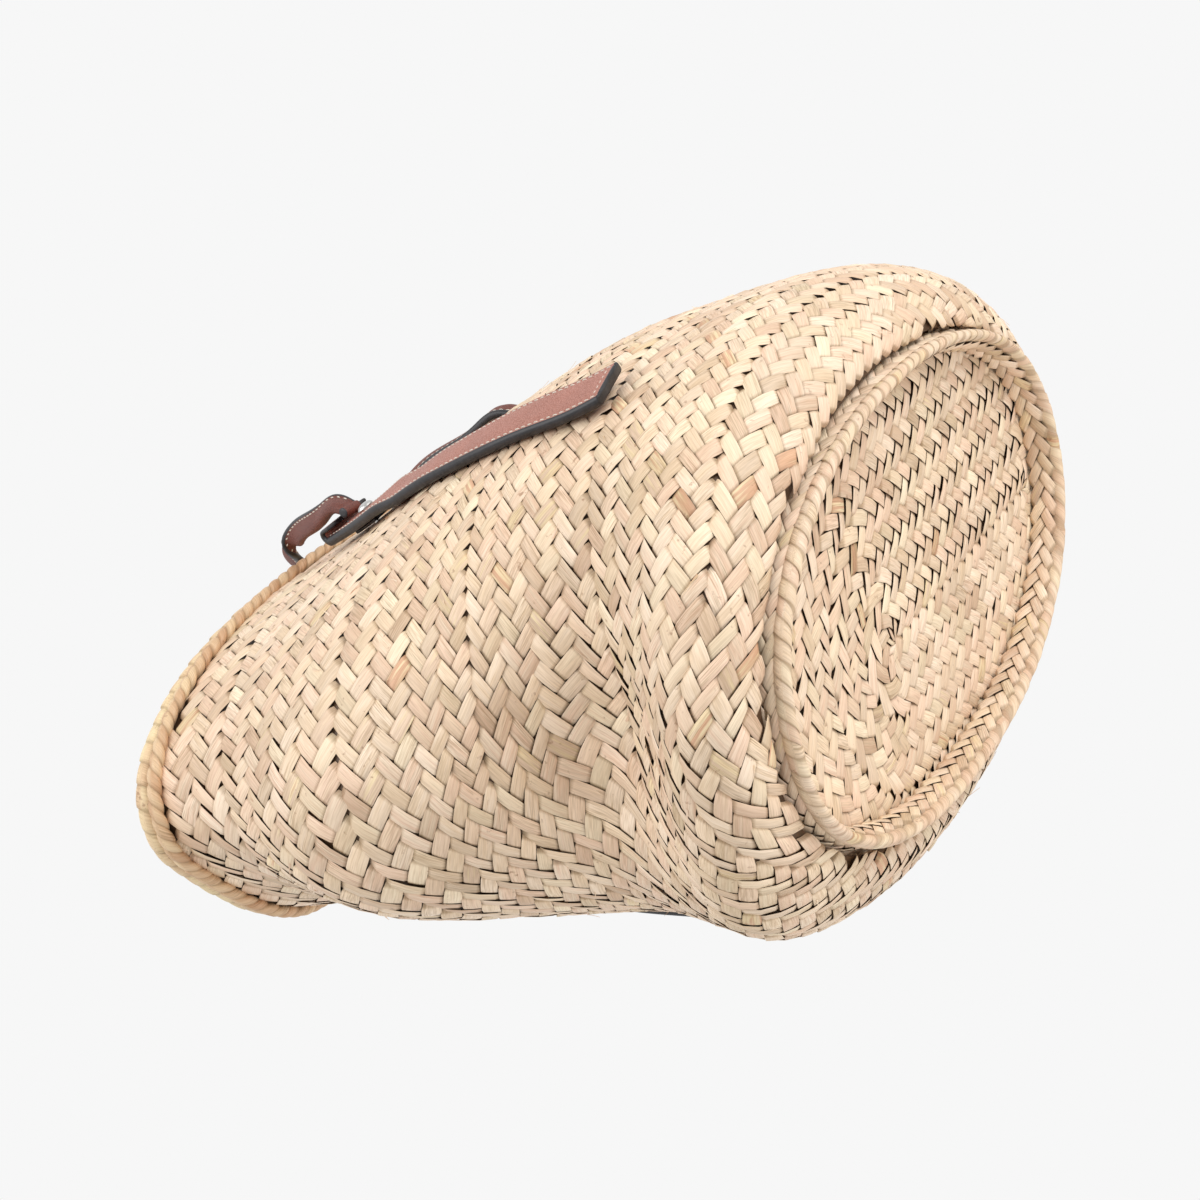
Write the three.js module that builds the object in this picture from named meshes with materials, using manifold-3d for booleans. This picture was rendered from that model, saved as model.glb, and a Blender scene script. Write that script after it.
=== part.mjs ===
// Palm leaf basket with two leather handles. Millimetres, +Z up, standing on its foot ring.
// The broad faces look along -Y (front) and +Y (back), the mouth is long along X.
import * as THREE from "three";
import Module from "manifold-3d";
import { mergeVertices } from "three/addons/utils/BufferGeometryUtils.js";

const wasm = await Module();
wasm.setup();
const { Manifold, Mesh: SolidMesh } = wasm;

// clearances
const GAP = 0.3; // between parts that are sewn or rest on each other
const PRESS_GAP = 0.45; // over and under a tab, whose strap is straight between its stations
const PIN_CLEARANCE = 0.4; // rivet post in its bore, handle end in its slot

// woven body
const WALL_THICKNESS = 5;
const MOUTH_HEIGHT = 288;
const BELLY_HEIGHT = 49;
const WALL_START_HEIGHT = 8;
const RING = { halfLength: 146, halfWidth: 84, power: 2.2 };
const BELLY = { halfLength: 181, halfWidth: 115, power: 1.95 };
const MOUTH = { halfLength: 168, halfWidth: 49.5, power: 2.25 };
// half length and half width at the belly, a quarter, half, three quarters up and at the mouth
const HALF_LENGTHS = [BELLY.halfLength, 161, 163, 161, MOUTH.halfLength];
const HALF_WIDTHS = [BELLY.halfWidth, 111, 95.5, 69.5, MOUTH.halfWidth];
const DRIFT_X = [7.6, 17.8]; // the mouth sits off the centre of the base
const DRIFT_Y = [23, 10];
const RIM_SADDLE = -12.8;
const RIM_TILT = -25;
const RIM_DIP = { size: -14.5, angle: 2.17, spread: 0.45 };
// soft places of the wall: size outward, angle and height of the middle, spreads
const SOFT_PLACES = [
  { size: -45.5, angle: 3.2, spread: 0.55, height: 74.6, tall: 38 },
  { size: 22.5, angle: 3.03, spread: 0.6, height: 184, tall: 55 },
  { size: 28.7, angle: 2.09, spread: 0.45, height: 288, tall: 70 },
  { size: 6.5, angle: 2.52, spread: 0.4, height: 35, tall: 35 },
];

// foot ring, base and rim
const FOOT_INSET = 1.6; // keeps the ring clear of the edge of the wall
const FOOT_WIDTH = 9;
const FOOT_HEIGHT = 13;
const BASE_THICKNESS = 4.5;
const BASE_OVERLAP = 5;
const RIM_CORD_RADIUS = 4.4;
const RIM_STRAND_RADIUS = 4;
const RIM_CORD_DROP = 4.6;
const RIM_STRAND_DROP = 13.6;
const WALL_TOP_DROP = 9.6;

// leather tabs, rivets and handles
const TAB_WIDTH = 24;
const TAB_THICKNESS = 4.2;
const TAB_LIFT = 0.9; // the flat strap stands this far off the curved wall
const TAB_TOP_LIFT = 3; // and further where the handle end lies under it
const TAB_TIP_LIFT = 2.6;
const TAB_FOOT_LEVEL = 86;
const TAB_TOP_LEVEL = 238;
const TAIL_THICKNESS = 1.8;
const TAIL_LENGTH = 5;
const FOLD_GAP = 2;
const TAB_LINE = [[86, -59], [110, -59], [140, -57], [170, -51], [200, -41], [220, -32], [238, -24]];
const FACE_MIDDLE = 32; // the far tab mirrors the near one about this X
const RIVET_LEVEL = 220;
const POST_RADIUS = 1.6;
const HEAD_RADIUS = 3.8;
const HEAD_HEIGHT = 2.2;
const HINGE_LEVEL = 229;
const ROOT_RADIUS = 2.2;
const ROOT_LIFT = ROOT_RADIUS + 1.5; // hinge axis over the outer face of the tab
const HANDLE_WIDTH = 10;
const HANDLE_THICKNESS = 5;
const END_THICKNESS = 1.5;
const END_LENGTH = 15;
const SLOT_WIDTH = END_THICKNESS + 2 * PIN_CLEARANCE;

const RING_STEPS = 64;
const SIDES = [["front", -1, "near", false], ["front", -1, "far", true], ["back", 1, "near", false],
  ["back", 1, "far", true]];

const wrap = (a) => Math.atan2(Math.sin(a), Math.cos(a));
const bell = (x) => Math.exp(-x * x);
const power = (c, n) => Math.sign(c) * Math.abs(c) ** (2 / n);
const lerp = (a, b, t) => a + (b - a) * t;

// smooth monotone curve through evenly spaced values, level at its start
function profile(values, t) {
  const last = values.length - 1;
  const steps = values.slice(1).map((v, i) => v - values[i]);
  const slopes = values.map((_, i) => {
    if (i === 0) return 0;
    if (i === last) return steps[last - 1];
    const [a, b] = [steps[i - 1], steps[i]];
    return a * b <= 0 ? 0 : (2 * a * b) / (a + b);
  });
  const x = Math.min(Math.max(t, 0), 1) * last;
  const i = Math.min(Math.floor(x), last - 1);
  const u = x - i;
  return values[i] * (1 + 2 * u) * (1 - u) ** 2 + slopes[i] * u * (1 - u) ** 2
    + values[i + 1] * u * u * (3 - 2 * u) + slopes[i + 1] * u * u * (u - 1);
}

// outer face of the wall; level runs from 0 at the ring to MOUTH_HEIGHT at the rim
function wallPoint(angle, level) {
  const soft = Math.min(level / 20, 1) * SOFT_PLACES.reduce((sum, s) => sum + s.size
    * bell(wrap(angle - s.angle) / s.spread) * bell((level - s.height) / s.tall), 0);
  const corner = level < BELLY_HEIGHT;
  const t = corner ? 0 : (level - BELLY_HEIGHT) / (MOUTH_HEIGHT - BELLY_HEIGHT);
  const turn = corner ? Math.sqrt(1 - (1 - level / BELLY_HEIGHT) ** 2) : 1;
  const a = corner ? lerp(RING.halfLength, BELLY.halfLength, turn) : profile(HALF_LENGTHS, t);
  const b = corner ? lerp(RING.halfWidth, BELLY.halfWidth, turn) : profile(HALF_WIDTHS, t);
  const n = corner ? lerp(RING.power, BELLY.power, level / BELLY_HEIGHT)
    : lerp(BELLY.power, MOUTH.power, t);
  const rise = RIM_SADDLE * Math.cos(2 * angle) + RIM_TILT * Math.cos(angle)
    + RIM_DIP.size * bell(wrap(angle - RIM_DIP.angle) / RIM_DIP.spread);
  const low = lerp(WALL_START_HEIGHT, BELLY_HEIGHT, level / BELLY_HEIGHT);
  return new THREE.Vector3(
    (a + soft) * power(Math.cos(angle), n) + DRIFT_X[0] * t + DRIFT_X[1] * t * t,
    (b + soft) * power(Math.sin(angle), n) + DRIFT_Y[0] * t + DRIFT_Y[1] * t * t,
    (corner ? low : level) + t * t * rise,
  );
}

// level at a given distance down the wall from the rim
function rimLevel(angle, drop) {
  const rim = wallPoint(angle, MOUTH_HEIGHT);
  return MOUTH_HEIGHT - (drop * 10) / rim.distanceTo(wallPoint(angle, MOUTH_HEIGHT - 10));
}

function wallFrame(angle, level) {
  const e = 0.01;
  const lv = Math.min(Math.max(level, 0.6), MOUTH_HEIGHT - 0.6);
  const round = wallPoint(angle + e, lv).sub(wallPoint(angle - e, lv)).normalize();
  const up = wallPoint(angle, lv + 0.5).sub(wallPoint(angle, lv - 0.5)).normalize();
  const out = round.clone().cross(up).normalize();
  return { round, up: out.clone().cross(round), out };
}

// point and frame on one broad face at a given X
function facePoint(x, level, side) {
  let [low, high] = side < 0 ? [Math.PI * 1.02, Math.PI * 1.98] : [Math.PI * 0.98, Math.PI * 0.02];
  for (let i = 0; i < 40; i += 1) {
    const mid = (low + high) / 2;
    if (wallPoint(mid, level).x < x) low = mid;
    else high = mid;
  }
  return { point: wallPoint(low, level), ...wallFrame(low, level) };
}

function geometryFrom(points, faces) {
  const g = new THREE.BufferGeometry();
  g.setAttribute("position", new THREE.Float32BufferAttribute(points.flatMap((p) => p.toArray()), 3));
  g.setIndex(faces.flat());
  return g;
}

// closed skin over a list of rings with the same number of points
function loft(rings, closed = false) {
  const n = rings[0].length;
  const faces = [];
  const count = closed ? rings.length : rings.length - 1;
  for (let i = 0; i < count; i += 1) {
    const [a, b] = [i * n, ((i + 1) % rings.length) * n];
    for (let j = 0; j < n; j += 1) {
      const k = (j + 1) % n;
      faces.push([a + j, a + k, b + k], [a + j, b + k, b + j]);
    }
  }
  const points = rings.flat();
  if (!closed) {
    for (const [row, flip] of [[0, true], [rings.length - 1, false]]) {
      const centre = rings[row].reduce((s, p) => s.add(p), new THREE.Vector3()).divideScalar(n);
      points.push(centre);
      for (let j = 0; j < n; j += 1) {
        const [p, q] = [row * n + j, row * n + ((j + 1) % n)];
        faces.push(flip ? [q, p, points.length - 1] : [p, q, points.length - 1]);
      }
    }
  }
  return geometryFrom(points, faces);
}

function solid(geometry) {
  const plain = new THREE.BufferGeometry();
  plain.setAttribute("position", geometry.getAttribute("position"));
  if (geometry.index) plain.setIndex(geometry.index);
  const merged = mergeVertices(plain, 1e-4);
  const make = (indices) => new Manifold(new SolidMesh({
    numProp: 3,
    vertProperties: new Float32Array(merged.attributes.position.array),
    triVerts: new Uint32Array(indices),
  }));
  const body = make(merged.index.array);
  if (body.volume() > 0) return body;
  const flipped = Array.from(merged.index.array);
  for (let i = 0; i < flipped.length; i += 3) {
    [flipped[i], flipped[i + 1]] = [flipped[i + 1], flipped[i]];
  }
  return make(flipped);
}

function geometryOf(body) {
  const mesh = body.getMesh();
  const g = new THREE.BufferGeometry();
  const points = [];
  for (let i = 0; i < mesh.numVert; i += 1) {
    points.push(...mesh.vertProperties.slice(i * mesh.numProp, i * mesh.numProp + 3));
  }
  g.setAttribute("position", new THREE.Float32BufferAttribute(points, 3));
  g.setIndex(Array.from(mesh.triVerts));
  const loose = g.toNonIndexed();
  loose.computeVertexNormals();
  return loose;
}

function cylinder(centre, direction, radius, length, sides = 24) {
  const g = new THREE.CylinderGeometry(radius, radius, length, sides);
  const turn = new THREE.Quaternion().setFromUnitVectors(new THREE.Vector3(0, 1, 0), direction);
  g.applyQuaternion(turn);
  g.translate(...centre.toArray());
  return solid(g);
}

// tube of round section along a closed line given by a function of the angle
function closedTube(centreAt, radius, sides, steps = RING_STEPS) {
  const rings = [];
  for (let i = 0; i < steps; i += 1) {
    const angle = (i / steps) * Math.PI * 2;
    const c = centreAt(angle);
    const ahead = centreAt(angle + 0.01).sub(centreAt(angle - 0.01)).normalize();
    const side = new THREE.Vector3(0, 0, 1).cross(ahead).normalize();
    const top = ahead.clone().cross(side);
    rings.push(Array.from({ length: sides }, (_, j) => {
      const a = (j / sides) * Math.PI * 2;
      return c.clone().addScaledVector(side, Math.cos(a) * radius)
        .addScaledVector(top, Math.sin(a) * radius);
    }));
  }
  return solid(loft(rings, true));
}

// strap of rectangular section: stations of a centre, a width direction and a face normal
function strap(stations, width, thickness) {
  const corners = [[-1, -1], [1, -1], [1, 1], [-1, 1]];
  return solid(loft(stations.map((s) => corners.map(([i, j]) => s.centre.clone()
    .addScaledVector(s.across, (i * width) / 2)
    .addScaledVector(s.out, (j * (s.thickness ?? thickness)) / 2)))));
}

function oval(halfLength, halfWidth, n, height) {
  return Array.from({ length: RING_STEPS }, (_, i) => {
    const angle = (i / RING_STEPS) * Math.PI * 2;
    return new THREE.Vector3(halfLength * power(Math.cos(angle), n),
      halfWidth * power(Math.sin(angle), n), height);
  });
}

function wallBraid() {
  const levels = [0, 0.8, 3, 7, 13, 21, 31, 42, 55, 70, 86, 103, 122, 143, 165, 188, 212, 237, 260, null];
  const row = (given, depth) => Array.from({ length: RING_STEPS }, (_, i) => {
    const angle = (i / RING_STEPS) * Math.PI * 2;
    const level = given ?? rimLevel(angle, WALL_TOP_DROP);
    const { out } = wallFrame(angle, level);
    return wallPoint(angle, level).addScaledVector(out, -depth);
  });
  const outer = levels.map((level) => row(level, 0));
  const inner = levels.map((level) => row(level, WALL_THICKNESS)).reverse();
  const body = solid(loft([...outer, ...inner], true));
  return SIDES.reduce((rest, [, side, , far]) => rest.subtract(
    post(side, far, POST_RADIUS + PIN_CLEARANCE)), body);
}

function footRing() {
  const inset = 0.22;
  const band = (grow, z) => oval(RING.halfLength - FOOT_INSET - grow, RING.halfWidth - FOOT_INSET - grow,
    RING.power, z);
  const [w, h] = [FOOT_WIDTH, FOOT_HEIGHT];
  const steps = [[w * inset, 0], [w * (1 - inset), 0], [w, h * 0.22], [w, h * 0.78],
    [w * (1 - inset), h], [w * inset, h], [0, h * 0.78], [0, h * 0.22]];
  return solid(loft(steps.map(([grow, z]) => band(grow, z)), true));
}

function baseBraid() {
  const z = Math.max(FOOT_HEIGHT, WALL_START_HEIGHT + WALL_THICKNESS) + GAP + 0.4;
  const disc = (grow, height) => oval(RING.halfLength + grow, RING.halfWidth + grow, RING.power, height);
  return solid(loft([disc(BASE_OVERLAP - 1.5, z), disc(BASE_OVERLAP, z + 1.2),
    disc(BASE_OVERLAP, z + BASE_THICKNESS - 1.2), disc(BASE_OVERLAP - 1.5, z + BASE_THICKNESS)]));
}

function rimCord() {
  return closedTube((angle) => {
    const level = rimLevel(angle, RIM_CORD_DROP);
    return wallPoint(angle, level).addScaledVector(wallFrame(angle, level).out, -WALL_THICKNESS / 2);
  }, RIM_CORD_RADIUS, 10);
}

function rimStrand() {
  return closedTube((angle) => {
    const level = rimLevel(angle, RIM_STRAND_DROP);
    const { out } = wallFrame(angle, level);
    return wallPoint(angle, level).addScaledVector(out, RIM_STRAND_RADIUS + GAP + 0.2);
  }, RIM_STRAND_RADIUS, 10);
}

function tabLineAt(level) {
  const found = TAB_LINE.findIndex(([l]) => l >= level);
  const i = found < 0 ? TAB_LINE.length - 1 : Math.max(found, 1);
  const [[l0, x0], [l1, x1]] = [TAB_LINE[i - 1], TAB_LINE[i]];
  return lerp(x0, x1, (level - l0) / (l1 - l0));
}

// place on a tab: centre line point, frame along the strap; far tabs are mirrored in X
function tabPlace(level, side, far) {
  const at = (l) => {
    const soft = (tabLineAt(l - 9) + tabLineAt(l) + tabLineAt(l + 9)) / 3;
    return facePoint(far ? 2 * FACE_MIDDLE - soft : soft, l, side);
  };
  const here = at(level);
  const up = at(Math.min(level + 2, TAB_TOP_LEVEL)).point
    .sub(at(Math.max(level - 2, TAB_FOOT_LEVEL)).point).normalize();
  const across = up.clone().cross(here.out).normalize();
  const out = across.clone().cross(up).normalize();
  return { point: here.point, up, across, out: out.dot(here.out) < 0 ? out.negate() : out };
}

// how far the inner face of a tab stands off the wall
function tabLift(level) {
  const top = Math.min(Math.max((level - 189) / 16, 0), 1);
  const tip = Math.max(0, 1 - (level - TAB_FOOT_LEVEL) / 36) ** 2;
  return lerp(TAB_LIFT, TAB_TOP_LIFT, top * top * (3 - 2 * top)) + TAB_TIP_LIFT * tip;
}

function hinge(side) {
  const [near, far] = [false, true].map((isFar) => {
    const { point, out } = tabPlace(HINGE_LEVEL, side, isFar);
    return point.addScaledVector(out, TAB_TOP_LIFT + TAB_THICKNESS + ROOT_LIFT);
  });
  return { near, far, axis: far.clone().sub(near).normalize(), span: far.distanceTo(near) };
}

function tab(side, far) {
  const stations = [];
  for (let level = TAB_FOOT_LEVEL; level < TAB_TOP_LEVEL - 3; level += 7) {
    const { point, across, out } = tabPlace(level, side, far);
    stations.push({ centre: point.addScaledVector(out, tabLift(level) + TAB_THICKNESS / 2), across, out });
  }
  const top = tabPlace(TAB_TOP_LEVEL, side, far);
  const end = top.point.clone().addScaledVector(top.out, TAB_TOP_LIFT + TAB_THICKNESS / 2);
  const turn = (TAB_THICKNESS / 2 + FOLD_GAP + TAIL_THICKNESS / 2) / 2;
  for (let degrees = 0; degrees <= 180; degrees += 30) {
    const a = (degrees * Math.PI) / 180;
    stations.push({
      centre: end.clone().addScaledVector(top.out, turn * (1 - Math.cos(a)))
        .addScaledVector(top.up, turn * Math.sin(a)),
      across: top.across,
      out: top.out.clone().multiplyScalar(Math.cos(a)).addScaledVector(top.up, -Math.sin(a)),
      thickness: lerp(TAB_THICKNESS, TAIL_THICKNESS, degrees / 180),
    });
  }
  const fold = stations[stations.length - 1];
  stations.push({ ...fold, centre: fold.centre.clone().addScaledVector(top.up, -TAIL_LENGTH) });

  const { near, far: farRoot } = hinge(side);
  const root = far ? farRoot : near;
  const place = tabPlace(HINGE_LEVEL, side, far);
  const slot = strap([-TAB_THICKNESS - ROOT_LIFT - 2, 0].map((depth) => ({
    centre: root.clone().addScaledVector(place.out, depth), across: place.across, out: place.up,
  })), HANDLE_WIDTH + 2 * PIN_CLEARANCE, SLOT_WIDTH);
  return strap(stations, TAB_WIDTH, TAB_THICKNESS).subtract(slot)
    .subtract(post(side, far, POST_RADIUS + PIN_CLEARANCE));
}

// tongue of the handle that lies under the tab and turns up into its slot
function handleEnd(side, far) {
  const { near, far: farRoot } = hinge(side);
  const place = tabPlace(HINGE_LEVEL, side, far);
  const root = far ? farRoot : near;
  const below = TAB_TOP_LIFT - PRESS_GAP - END_THICKNESS / 2;
  const stations = [];
  for (let level = HINGE_LEVEL - END_LENGTH; level < HINGE_LEVEL; level += 4) {
    const { point, across, out } = tabPlace(level, side, far);
    stations.push({ centre: point.addScaledVector(out, below), across, out });
  }
  const corner = root.clone().addScaledVector(place.out, below - TAB_TOP_LIFT - TAB_THICKNESS - ROOT_LIFT);
  stations.push({ centre: corner, across: place.across, out: place.out.clone().sub(place.up).normalize() });
  stations.push({ centre: root.clone().addScaledVector(place.out, -ROOT_RADIUS - 3 * GAP),
    across: place.across, out: place.up.clone().negate() });
  return strap(stations, HANDLE_WIDTH, END_THICKNESS).subtract(post(side, far, POST_RADIUS + PIN_CLEARANCE));
}

function post(side, far, radius) {
  const { point, out } = tabPlace(RIVET_LEVEL, side, far);
  return cylinder(point.addScaledVector(out, 1), out, radius, 2 * (WALL_THICKNESS + TAB_THICKNESS));
}

function rivet(side, far) {
  const { point, out } = tabPlace(RIVET_LEVEL, side, far);
  const seat = TAB_TOP_LIFT + TAB_THICKNESS + PRESS_GAP;
  const inside = WALL_THICKNESS + GAP + 0.2;
  const profile2d = [[0, -inside - 1], [HEAD_RADIUS, -inside - 1], [HEAD_RADIUS, -inside],
    [POST_RADIUS, -inside], [POST_RADIUS, seat], [HEAD_RADIUS, seat], [HEAD_RADIUS * 0.93, seat + HEAD_HEIGHT * 0.45],
    [HEAD_RADIUS * 0.68, seat + HEAD_HEIGHT * 0.8], [HEAD_RADIUS * 0.35, seat + HEAD_HEIGHT * 0.96],
    [0, seat + HEAD_HEIGHT]].map(([r, y]) => new THREE.Vector2(r, y));
  const g = new THREE.LatheGeometry(profile2d, 24);
  g.applyQuaternion(new THREE.Quaternion().setFromUnitVectors(new THREE.Vector3(0, 1, 0), out));
  g.translate(...point.toArray());
  return solid(g);
}

// halves of the handles in the frame of their hinges: along the axis towards the middle, outward,
// upward, and the width direction from the stitched side to the folded side
const FRONT_LINE = [
  [0, 0, 0, [-1, 0, 0]], [0.5, 1.2, 4, [-1, -0.1, 0]], [1, 1.8, 8, [-0.95, -0.3, 0]],
  [1.7, 0.8, 13.5, [-0.75, -0.65, 0]], [2.7, -3.6, 21, [-0.5, -0.85, 0.05]],
  [4.2, -7.5, 30, [-0.25, -0.95, 0.15]], [8, -12.6, 44, [0.15, -0.85, 0.45]],
  [11.5, -20.5, 57, [0.5, -0.55, 0.65]], [16, -30, 67, [0.5, -0.25, 0.85]],
  [25, -42, 72, [0.25, -0.05, 0.97]], [38, -49, 73, [0, 0, 1]],
];
// the far half of the front handle lies flat against the rim
const FRONT_FAR_LINE = [
  [0, 0, 0, [-1, 0, 0]], [0.3, 1.6, 4, [-1, 0, 0]], [0.8, 2.4, 8, [-1, 0, 0]],
  [1.5, 1.6, 13.5, [-1, 0, 0]], [2.5, -3, 21, [-1, 0, 0]], [3.6, -8, 30, [-1, 0, 0.05]],
  [5, -11.8, 40, [-0.97, 0, 0.2]], [7.5, -17, 52, [-0.85, 0, 0.5]], [12, -25.5, 61, [-0.6, 0, 0.8]],
  [19, -37, 68, [-0.35, 0, 0.94]], [28, -45, 72, [-0.1, 0, 1]], [38, -49, 73, [0, 0, 1]],
];
const BACK_LINE = [
  [0, 0, 0, [-1, 0, 0]], [0.2, 2.9, 3.5, [-1, -0.1, 0]], [0.4, 6.3, 7.5, [-0.95, -0.3, 0]],
  [0.7, 8.6, 12.5, [-0.75, -0.65, 0]], [1.3, 9.1, 20, [-0.5, -0.85, 0.05]],
  [2.3, 9, 33, [-0.25, -0.95, 0.15]], [4.7, 8.5, 47, [0.15, -0.85, 0.45]],
  [9, 3, 60, [0.45, -0.5, 0.7]], [16, -7, 69, [0.4, -0.2, 0.88]],
  [25, -16, 74, [0.2, -0.05, 0.97]], [37.5, -18, 75, [0, 0, 1]],
];

function handle(side) {
  const { near, far, axis, span } = hinge(side);
  const up = new THREE.Vector3(0, 0, 1).addScaledVector(axis, -axis.z).normalize();
  const out = axis.clone().cross(up).normalize();
  if (out.y * side < 0) out.negate();
  const halves = side < 0 ? [FRONT_LINE, FRONT_FAR_LINE] : [BACK_LINE, BACK_LINE];
  const [knots, others] = halves.map((line) => line.map(([x, o, u, w]) => [
    (x * span) / (2 * line[line.length - 1][0]), o, u, w]));
  for (let i = others.length - 2; i >= 0; i -= 1) {
    const [x, o, u, [wx, wo, wu]] = others[i];
    knots.push([span - x, o, u, [-wx, wo, wu]]);
  }
  const place = ([x, o, u]) => near.clone().addScaledVector(axis, x).addScaledVector(out, o)
    .addScaledVector(up, u);
  const path = new THREE.CatmullRomCurve3(knots.map(place), false, "centripetal");
  const widths = new THREE.CatmullRomCurve3(knots.map(([, , , [wx, wo, wu]]) => new THREE.Vector3()
    .addScaledVector(axis, wx).addScaledVector(out, wo).addScaledVector(up, wu)), false, "centripetal");
  const section = [[-1, -0.5], [-0.72, -1], [0.72, -1], [1, -0.5], [1, 0.5], [0.72, 1], [-0.72, 1], [-1, 0.5]];
  const count = 60;
  const rings = Array.from({ length: count + 1 }, (_, i) => {
    const t = i / count;
    const ahead = path.getTangent(t);
    const across = widths.getPoint(t);
    across.addScaledVector(ahead, -across.dot(ahead)).normalize();
    const face = ahead.clone().cross(across).normalize();
    const root = Math.min(t, 1 - t) * count < 1.5 ? (2 * ROOT_RADIUS) / HANDLE_THICKNESS : 1;
    return section.map(([a, b]) => path.getPoint(t).addScaledVector(across, (a * HANDLE_WIDTH) / 2)
      .addScaledVector(face, (b * root * HANDLE_THICKNESS) / 2));
  });
  return [near, far].reduce((sum, centre) => sum.add(cylinder(centre, axis, ROOT_RADIUS, HANDLE_WIDTH)),
    solid(loft(rings)));
}

const group = new THREE.Group();
function add(name, body, colour, roughness = 0.8, metalness = 0) {
  const mesh = new THREE.Mesh(geometryOf(body),
    new THREE.MeshStandardMaterial({ color: colour, roughness, metalness }));
  mesh.name = name;
  group.add(mesh);
}

add("wall_braid", wallBraid(), 0xdcc3a0);
add("base_braid", baseBraid(), 0xd9bd97);
add("foot_ring", footRing(), 0xd8be92);
add("rim_cord", rimCord(), 0xd9be90);
add("rim_strand", rimStrand(), 0xc9a877);
for (const [face, side, end, far] of SIDES) {
  add(`${face}_${end}_tab`, tab(side, far), 0xa86a5c, 0.55);
  add(`${face}_${end}_handle_end`, handleEnd(side, far), 0x7a3f33, 0.6);
  add(`${face}_${end}_rivet`, rivet(side, far), 0xc9cbcd, 0.25, 1);
}
for (const [face, side] of [["front", -1], ["back", 1]]) {
  add(`${face}_handle`, handle(side), 0x8a4a3c, 0.5);
}

// stand the basket over the origin
const box = new THREE.Box3().setFromObject(group);
const shift = new THREE.Vector3((box.min.x + box.max.x) / -2, (box.min.y + box.max.y) / -2, -box.min.z);
for (const mesh of group.children) mesh.geometry.translate(...shift.toArray());

export default group;
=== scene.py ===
"""Looks of the palm leaf basket: plaited body, wrapped cords, stitched leather and rivets."""

import logging
import math
from dataclasses import dataclass, replace
from enum import Enum
from typing import Callable, Sequence

import bpy
import numpy as np
from mathutils import Matrix, Vector

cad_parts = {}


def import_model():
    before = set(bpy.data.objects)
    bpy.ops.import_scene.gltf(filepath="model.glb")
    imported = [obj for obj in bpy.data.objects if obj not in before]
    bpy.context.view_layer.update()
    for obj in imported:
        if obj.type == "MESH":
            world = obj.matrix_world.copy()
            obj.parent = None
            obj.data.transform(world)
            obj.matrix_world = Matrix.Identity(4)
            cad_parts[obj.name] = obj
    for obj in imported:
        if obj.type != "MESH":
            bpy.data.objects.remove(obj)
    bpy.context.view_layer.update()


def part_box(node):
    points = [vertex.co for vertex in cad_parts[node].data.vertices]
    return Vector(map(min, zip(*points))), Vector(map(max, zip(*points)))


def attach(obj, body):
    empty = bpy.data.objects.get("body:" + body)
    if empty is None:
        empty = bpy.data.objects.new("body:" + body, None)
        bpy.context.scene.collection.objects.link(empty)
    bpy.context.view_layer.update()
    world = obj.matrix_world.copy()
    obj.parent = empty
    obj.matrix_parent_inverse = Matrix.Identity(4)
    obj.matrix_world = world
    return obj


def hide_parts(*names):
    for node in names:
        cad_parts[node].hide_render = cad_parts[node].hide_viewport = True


LOG = logging.getLogger("basket")
MM = 0.001
SEED = 7
BODY = "basket"
TURN = 2 * math.pi
ROOT2 = math.sqrt(2)
LINE_STEPS = 1440
PALE = "#F7F7F7"

Array = np.ndarray
Tree = bpy.types.NodeTree
Socket = bpy.types.NodeSocket
Material = bpy.types.Material
Object = bpy.types.Object
# position and direction at places of a surface
Surface = Callable[[Array, Array], tuple[Array, Array]]
# centre, side and top directions at angles round a cord
Line = Callable[[Array], tuple[Array, Array, Array]]
# a finished piece, the nodes that it replaces and its slot
Made = tuple[Object, tuple[str, ...], str]


class Face(Enum):
    """The two broad faces of the basket; the value is the sign of Y."""

    FRONT = -1
    BACK = 1


class End(Enum):
    """The tab of a face nearer to -X or nearer to +X."""

    NEAR = "near"
    FAR = "far"


def linear(code: str) -> tuple[float, float, float, float]:
    """Turn an sRGB hex colour into linear light.

    Args:
        code: The colour, such as "#E8D2B0".

    Returns:
        Red, green, blue and an alpha of 1.
    """
    parts = [int(code[i : i + 2], 16) / 255 for i in (1, 3, 5)]
    light = [c / 12.92 if c <= 0.04045 else ((c + 0.055) / 1.055) ** 2.4 for c in parts]
    return (light[0], light[1], light[2], 1.0)


def unit(vectors: Array) -> Array:
    """Scale vectors along the last axis to length 1."""
    return vectors / np.maximum(np.linalg.norm(vectors, axis=-1, keepdims=True), 1e-9)


def wrap(angle: Array) -> Array:
    """Bring angles into the half turn each way around 0."""
    return (np.asarray(angle) + np.pi) % TURN - np.pi


def power(value: Array, n: Array) -> Array:
    """Signed power of a superellipse with exponent n."""
    return np.sign(value) * np.abs(value) ** (2.0 / n)


def profile(values: Sequence[float], t: Array) -> Array:
    """Follow a smooth monotone curve through evenly spaced values.

    Args:
        values: The heights of the curve, evenly spaced from t = 0 to t = 1.
        t: Where the curve is read.

    Returns:
        The height at each t. The curve is level at its start.
    """
    v = np.asarray(values, float)
    step = np.diff(v)
    a, b = step[:-1], step[1:]
    total = np.where(a + b == 0, 1.0, a + b)
    slope = np.concatenate(([0.0], np.where(a * b <= 0, 0.0, 2 * a * b / total), [step[-1]]))
    x = np.clip(t, 0, 1) * (len(v) - 1)
    i = np.minimum(x.astype(int), len(v) - 2)
    u = x - i
    return (
        v[i] * (1 + 2 * u) * (1 - u) ** 2
        + slope[i] * u * (1 - u) ** 2
        + v[i + 1] * u * u * (3 - 2 * u)
        + slope[i + 1] * u * u * (u - 1)
    )


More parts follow.
